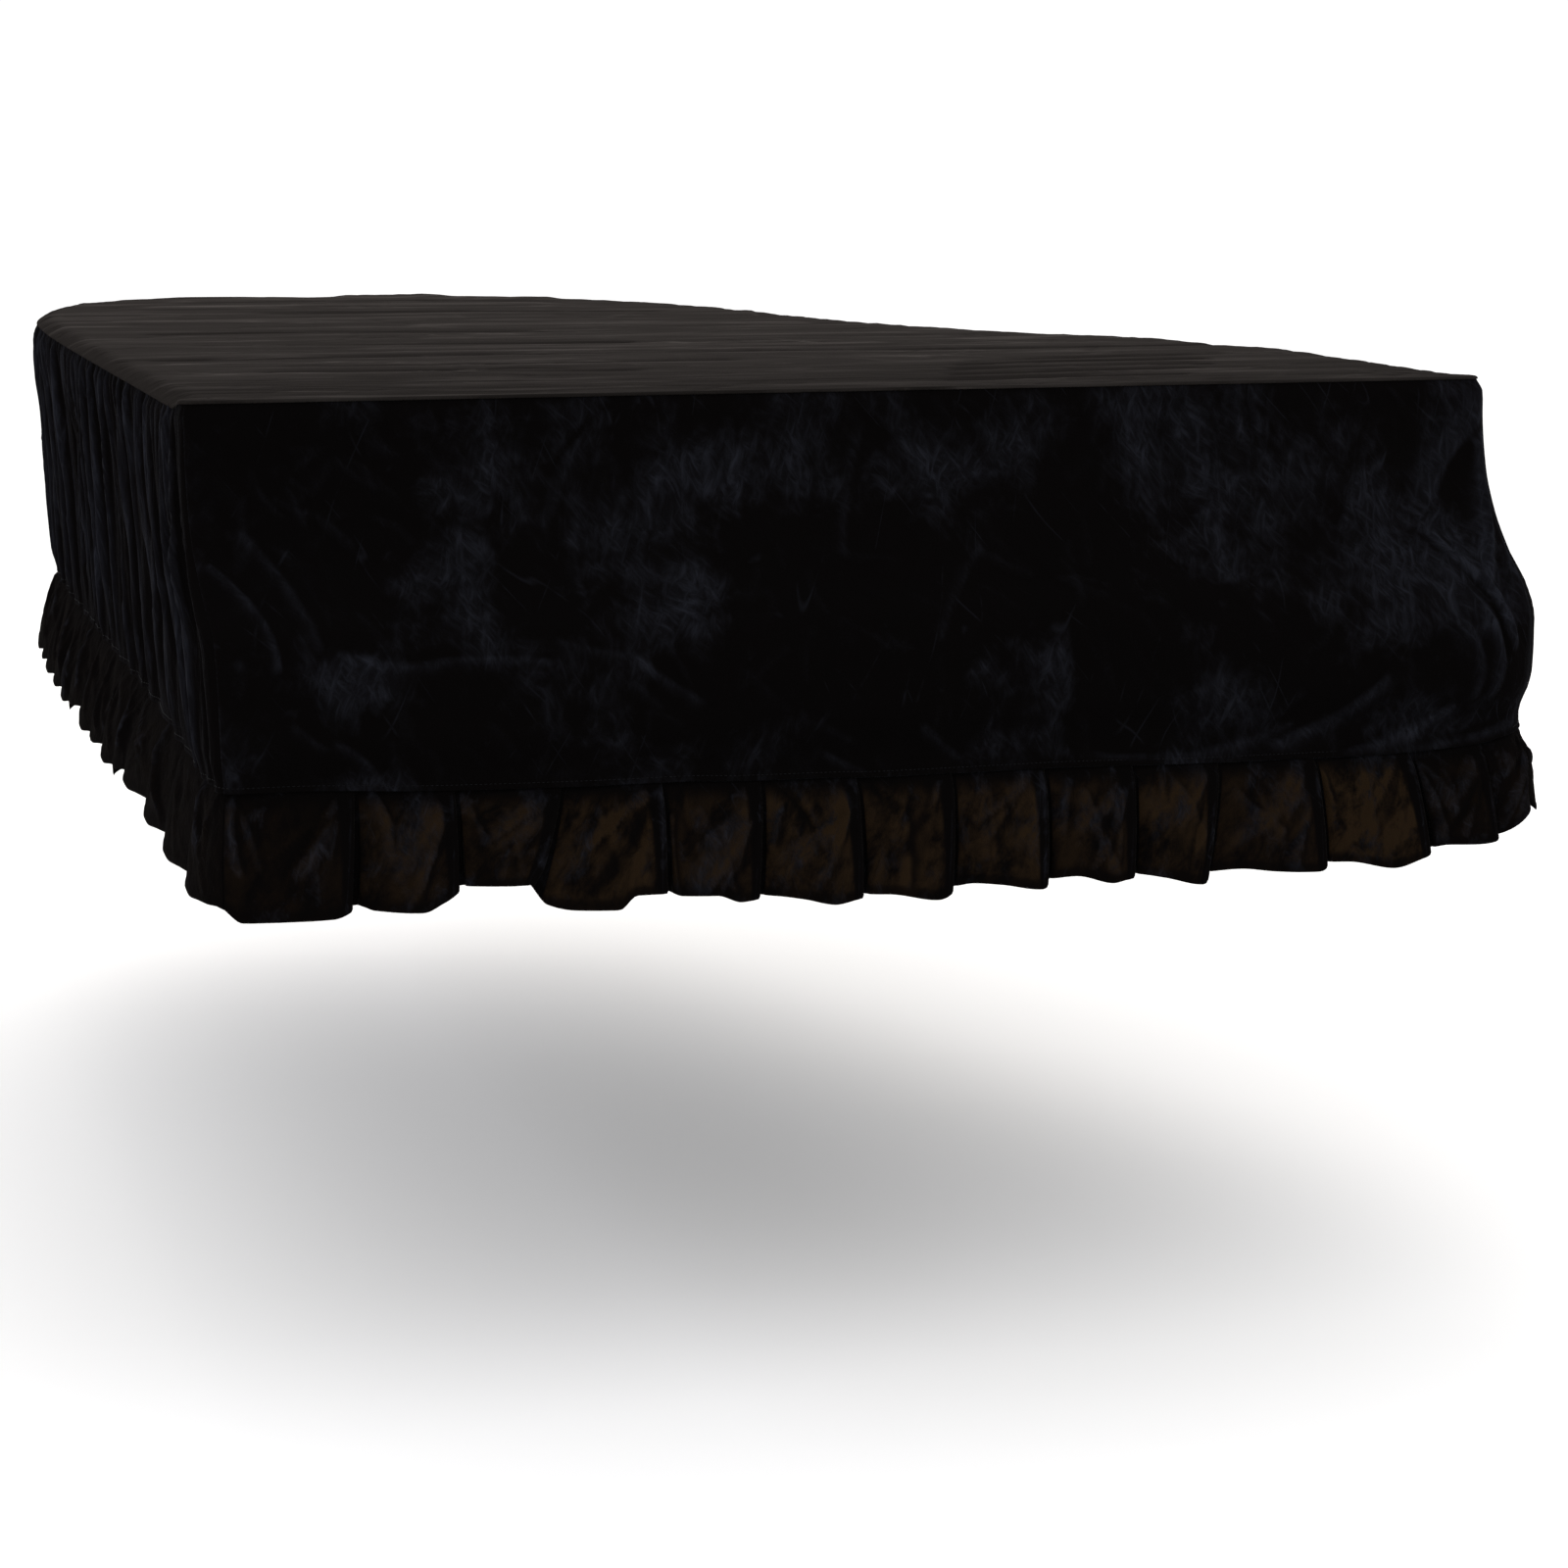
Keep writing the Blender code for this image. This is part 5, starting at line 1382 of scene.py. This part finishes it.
class COVER_OT_stitches(bpy.types.Operator):
    """Sews a row of stitches above the ruffle's seam, all the way round"""
    bl_idname = "piano_cover.stitches"
    bl_label = "Seam stitches"

    def execute(self, context):
        sizes, colours = context.scene.cover_sizes, context.scene.cover_colours
        places = np.linspace(0.0, ROUND, 1400, endpoint=False)
        share = np.full_like(places, 0.985)
        on_front = places < WIDTH
        fold = np.where(on_front, front_fold(places, share), skirt_fold(places, share, sizes))
        path = hanging_point(places, share, fold + sizes.cloth / 2 + sizes.thread / 3)
        mesh = bpy.data.meshes.new("seam_path")
        count = len(places)
        mesh.from_pydata(path.tolist(), [(number, (number + 1) % count) for number in range(count)], [])
        guide = bpy.data.objects.new("seam_path", mesh)
        context.scene.collection.objects.link(guide)
        modifier = guide.modifiers.new("stitches", "NODES")
        modifier.node_group = stitch_tree(sewing_thread(colours.thread))
        sockets = {item.name: item.identifier for item in modifier.node_group.interface.items_tree}
        modifier[sockets["Stitch length"]] = sizes.stitch
        modifier[sockets["Stitch pitch"]] = sizes.stitch_pitch
        modifier[sockets["Thread thickness"]] = sizes.thread
        context.view_layer.update()
        evaluated = guide.evaluated_get(context.evaluated_depsgraph_get())
        sewn = bpy.data.objects.new("seam_stitches", bpy.data.meshes.new_from_object(evaluated))
        context.scene.collection.objects.link(sewn)
        bpy.data.objects.remove(guide)
        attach(sewn, "root")
        return {"FINISHED"}


# The three softboxes: name, place, size, power and tint; and the point that they aim at
SOFTBOXES = (
    ("back_softbox", (0.6, 3.6, 3.0), 3.2, 60.0, "#fff6ec"),
    ("right_softbox", (4.2, -1.6, 1.6), 1.8, 45.0, "#f4f6ff"),
    ("left_softbox", (-4.4, 0.6, 2.2), 1.8, 60.0, "#f2f5ff"))
LIGHT_AIM = Vector((0.0, 0.1, -0.25))
FLOOR_RADIUS = 40
FLOOR_CORNERS = 64


class COVER_OT_stage(bpy.types.Operator):
    """Sets up the plain pale floor, the soft studio light and the camera"""
    bl_idname = "piano_cover.stage"
    bl_label = "Stage"

    def execute(self, context):
        self.floor(context)
        self.sky(context)
        for name, at, size, power, tint in SOFTBOXES:
            data = bpy.data.lights.new(name, "AREA")
            data.size = size
            data.energy = power
            data.color = linear(tint)[:3]
            lamp = bpy.data.objects.new(name, data)
            lamp.location = at
            lamp.rotation_euler = (LIGHT_AIM - Vector(at)).to_track_quat("-Z", "Y").to_euler()
            context.scene.collection.objects.link(lamp)
        self.camera(context)
        context.scene.view_settings.view_transform = "Standard"
        return {"FINISHED"}

    @staticmethod
    def floor(context):
        """A wide pale floor, well below the cover's hem."""
        mesh = bpy.data.meshes.new("floor")
        turns = np.linspace(0, 2 * math.pi, FLOOR_CORNERS, endpoint=False)
        ring = [(FLOOR_RADIUS * math.cos(turn), FLOOR_RADIUS * math.sin(turn), FLOOR_Z) for turn in turns]
        mesh.from_pydata(ring, [], [list(range(FLOOR_CORNERS))])
        floor = bpy.data.objects.new("floor", mesh)
        material = bpy.data.materials.new("matt_paper")
        material.use_nodes = True
        shader = material.node_tree.nodes["Principled BSDF"]
        shader.inputs["Base Color"].default_value = linear("#f4f3f2")
        shader.inputs["Roughness"].default_value = 0.9
        shader.inputs["Specular IOR Level"].default_value = 0.1
        mesh.materials.append(material)
        context.scene.collection.objects.link(floor)

    @staticmethod
    def sky(context):
        """Soft light from all round, a little brighter overhead, in which the floor has no horizon."""
        world = bpy.data.worlds.new("studio")
        context.scene.world = world
        world.use_nodes = True
        tree = world.node_tree
        place = add_node(tree, "ShaderNodeTexCoord").outputs["Generated"]
        height = add_node(tree, "ShaderNodeSeparateXYZ", {0: place}).outputs[2]
        strength = ramp(tree, height, 0.1, 0.9, 1.08, 1.30)
        tree.links.new(strength, tree.nodes["Background"].inputs["Strength"])
        tree.nodes["Background"].inputs["Color"].default_value = (1.0, 1.0, 1.0, 1.0)

    @staticmethod
    def camera(context):
        """The camera at the photograph's place, turn and lens."""
        yaw, pitch, roll = (math.radians(value) for value in (CAMERA_YAW, CAMERA_PITCH, CAMERA_ROLL))
        ahead = Vector((math.sin(yaw) * math.cos(pitch), math.cos(yaw) * math.cos(pitch), -math.sin(pitch)))
        level = Vector((math.cos(yaw), -math.sin(yaw), 0.0))
        down = ahead.cross(level)
        right = level * math.cos(roll) + down * math.sin(roll)
        up = level * math.sin(roll) - down * math.cos(roll)
        data = bpy.data.cameras.new("camera")
        data.lens = CAMERA_LENS
        data.sensor_width = CAMERA_SENSOR
        camera = bpy.data.objects.new("camera", data)
        turned = Matrix((right, up, -ahead)).transposed().to_4x4()
        camera.matrix_world = Matrix.Translation(CAMERA_AT) @ turned
        context.scene.collection.objects.link(camera)
        context.scene.camera = camera


class COVER_PT_panel(bpy.types.Panel):
    """Lists the cover's sizes, colours and pieces"""
    bl_idname = "COVER_PT_panel"
    bl_label = "Piano cover"
    bl_space_type = "VIEW_3D"
    bl_region_type = "UI"
    bl_category = "Piano cover"

    def draw(self, context):
        for group in (context.scene.cover_sizes, context.scene.cover_colours):
            box = self.layout.box()
            for name in group.__annotations__:
                box.prop(group, name)
        for operator in OPERATORS:
            self.layout.operator(operator.bl_idname)


OPERATORS = (COVER_OT_top_panel, COVER_OT_front_panel, COVER_OT_skirt, COVER_OT_ruffle, COVER_OT_stitches,
             COVER_OT_stage)
CLASSES = (CoverSizes, CoverColours, *OPERATORS, COVER_PT_panel)


def register():
    """Registers the cover's sizes, colours, operators and panel."""
    for item in CLASSES:
        bpy.utils.register_class(item)
    bpy.types.Scene.cover_sizes = PointerProperty(type=CoverSizes)
    bpy.types.Scene.cover_colours = PointerProperty(type=CoverColours)


def unregister():
    """Removes them again."""
    del bpy.types.Scene.cover_colours
    del bpy.types.Scene.cover_sizes
    for item in reversed(CLASSES):
        bpy.utils.unregister_class(item)


def main():
    """Makes every piece in order."""
    register()
    bpy.ops.piano_cover.top_panel()
    bpy.ops.piano_cover.front_panel()
    bpy.ops.piano_cover.skirt()
    bpy.ops.piano_cover.ruffle()
    bpy.ops.piano_cover.stitches()
    bpy.ops.piano_cover.stage()
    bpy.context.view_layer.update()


if __name__ == "__main__":
    main()
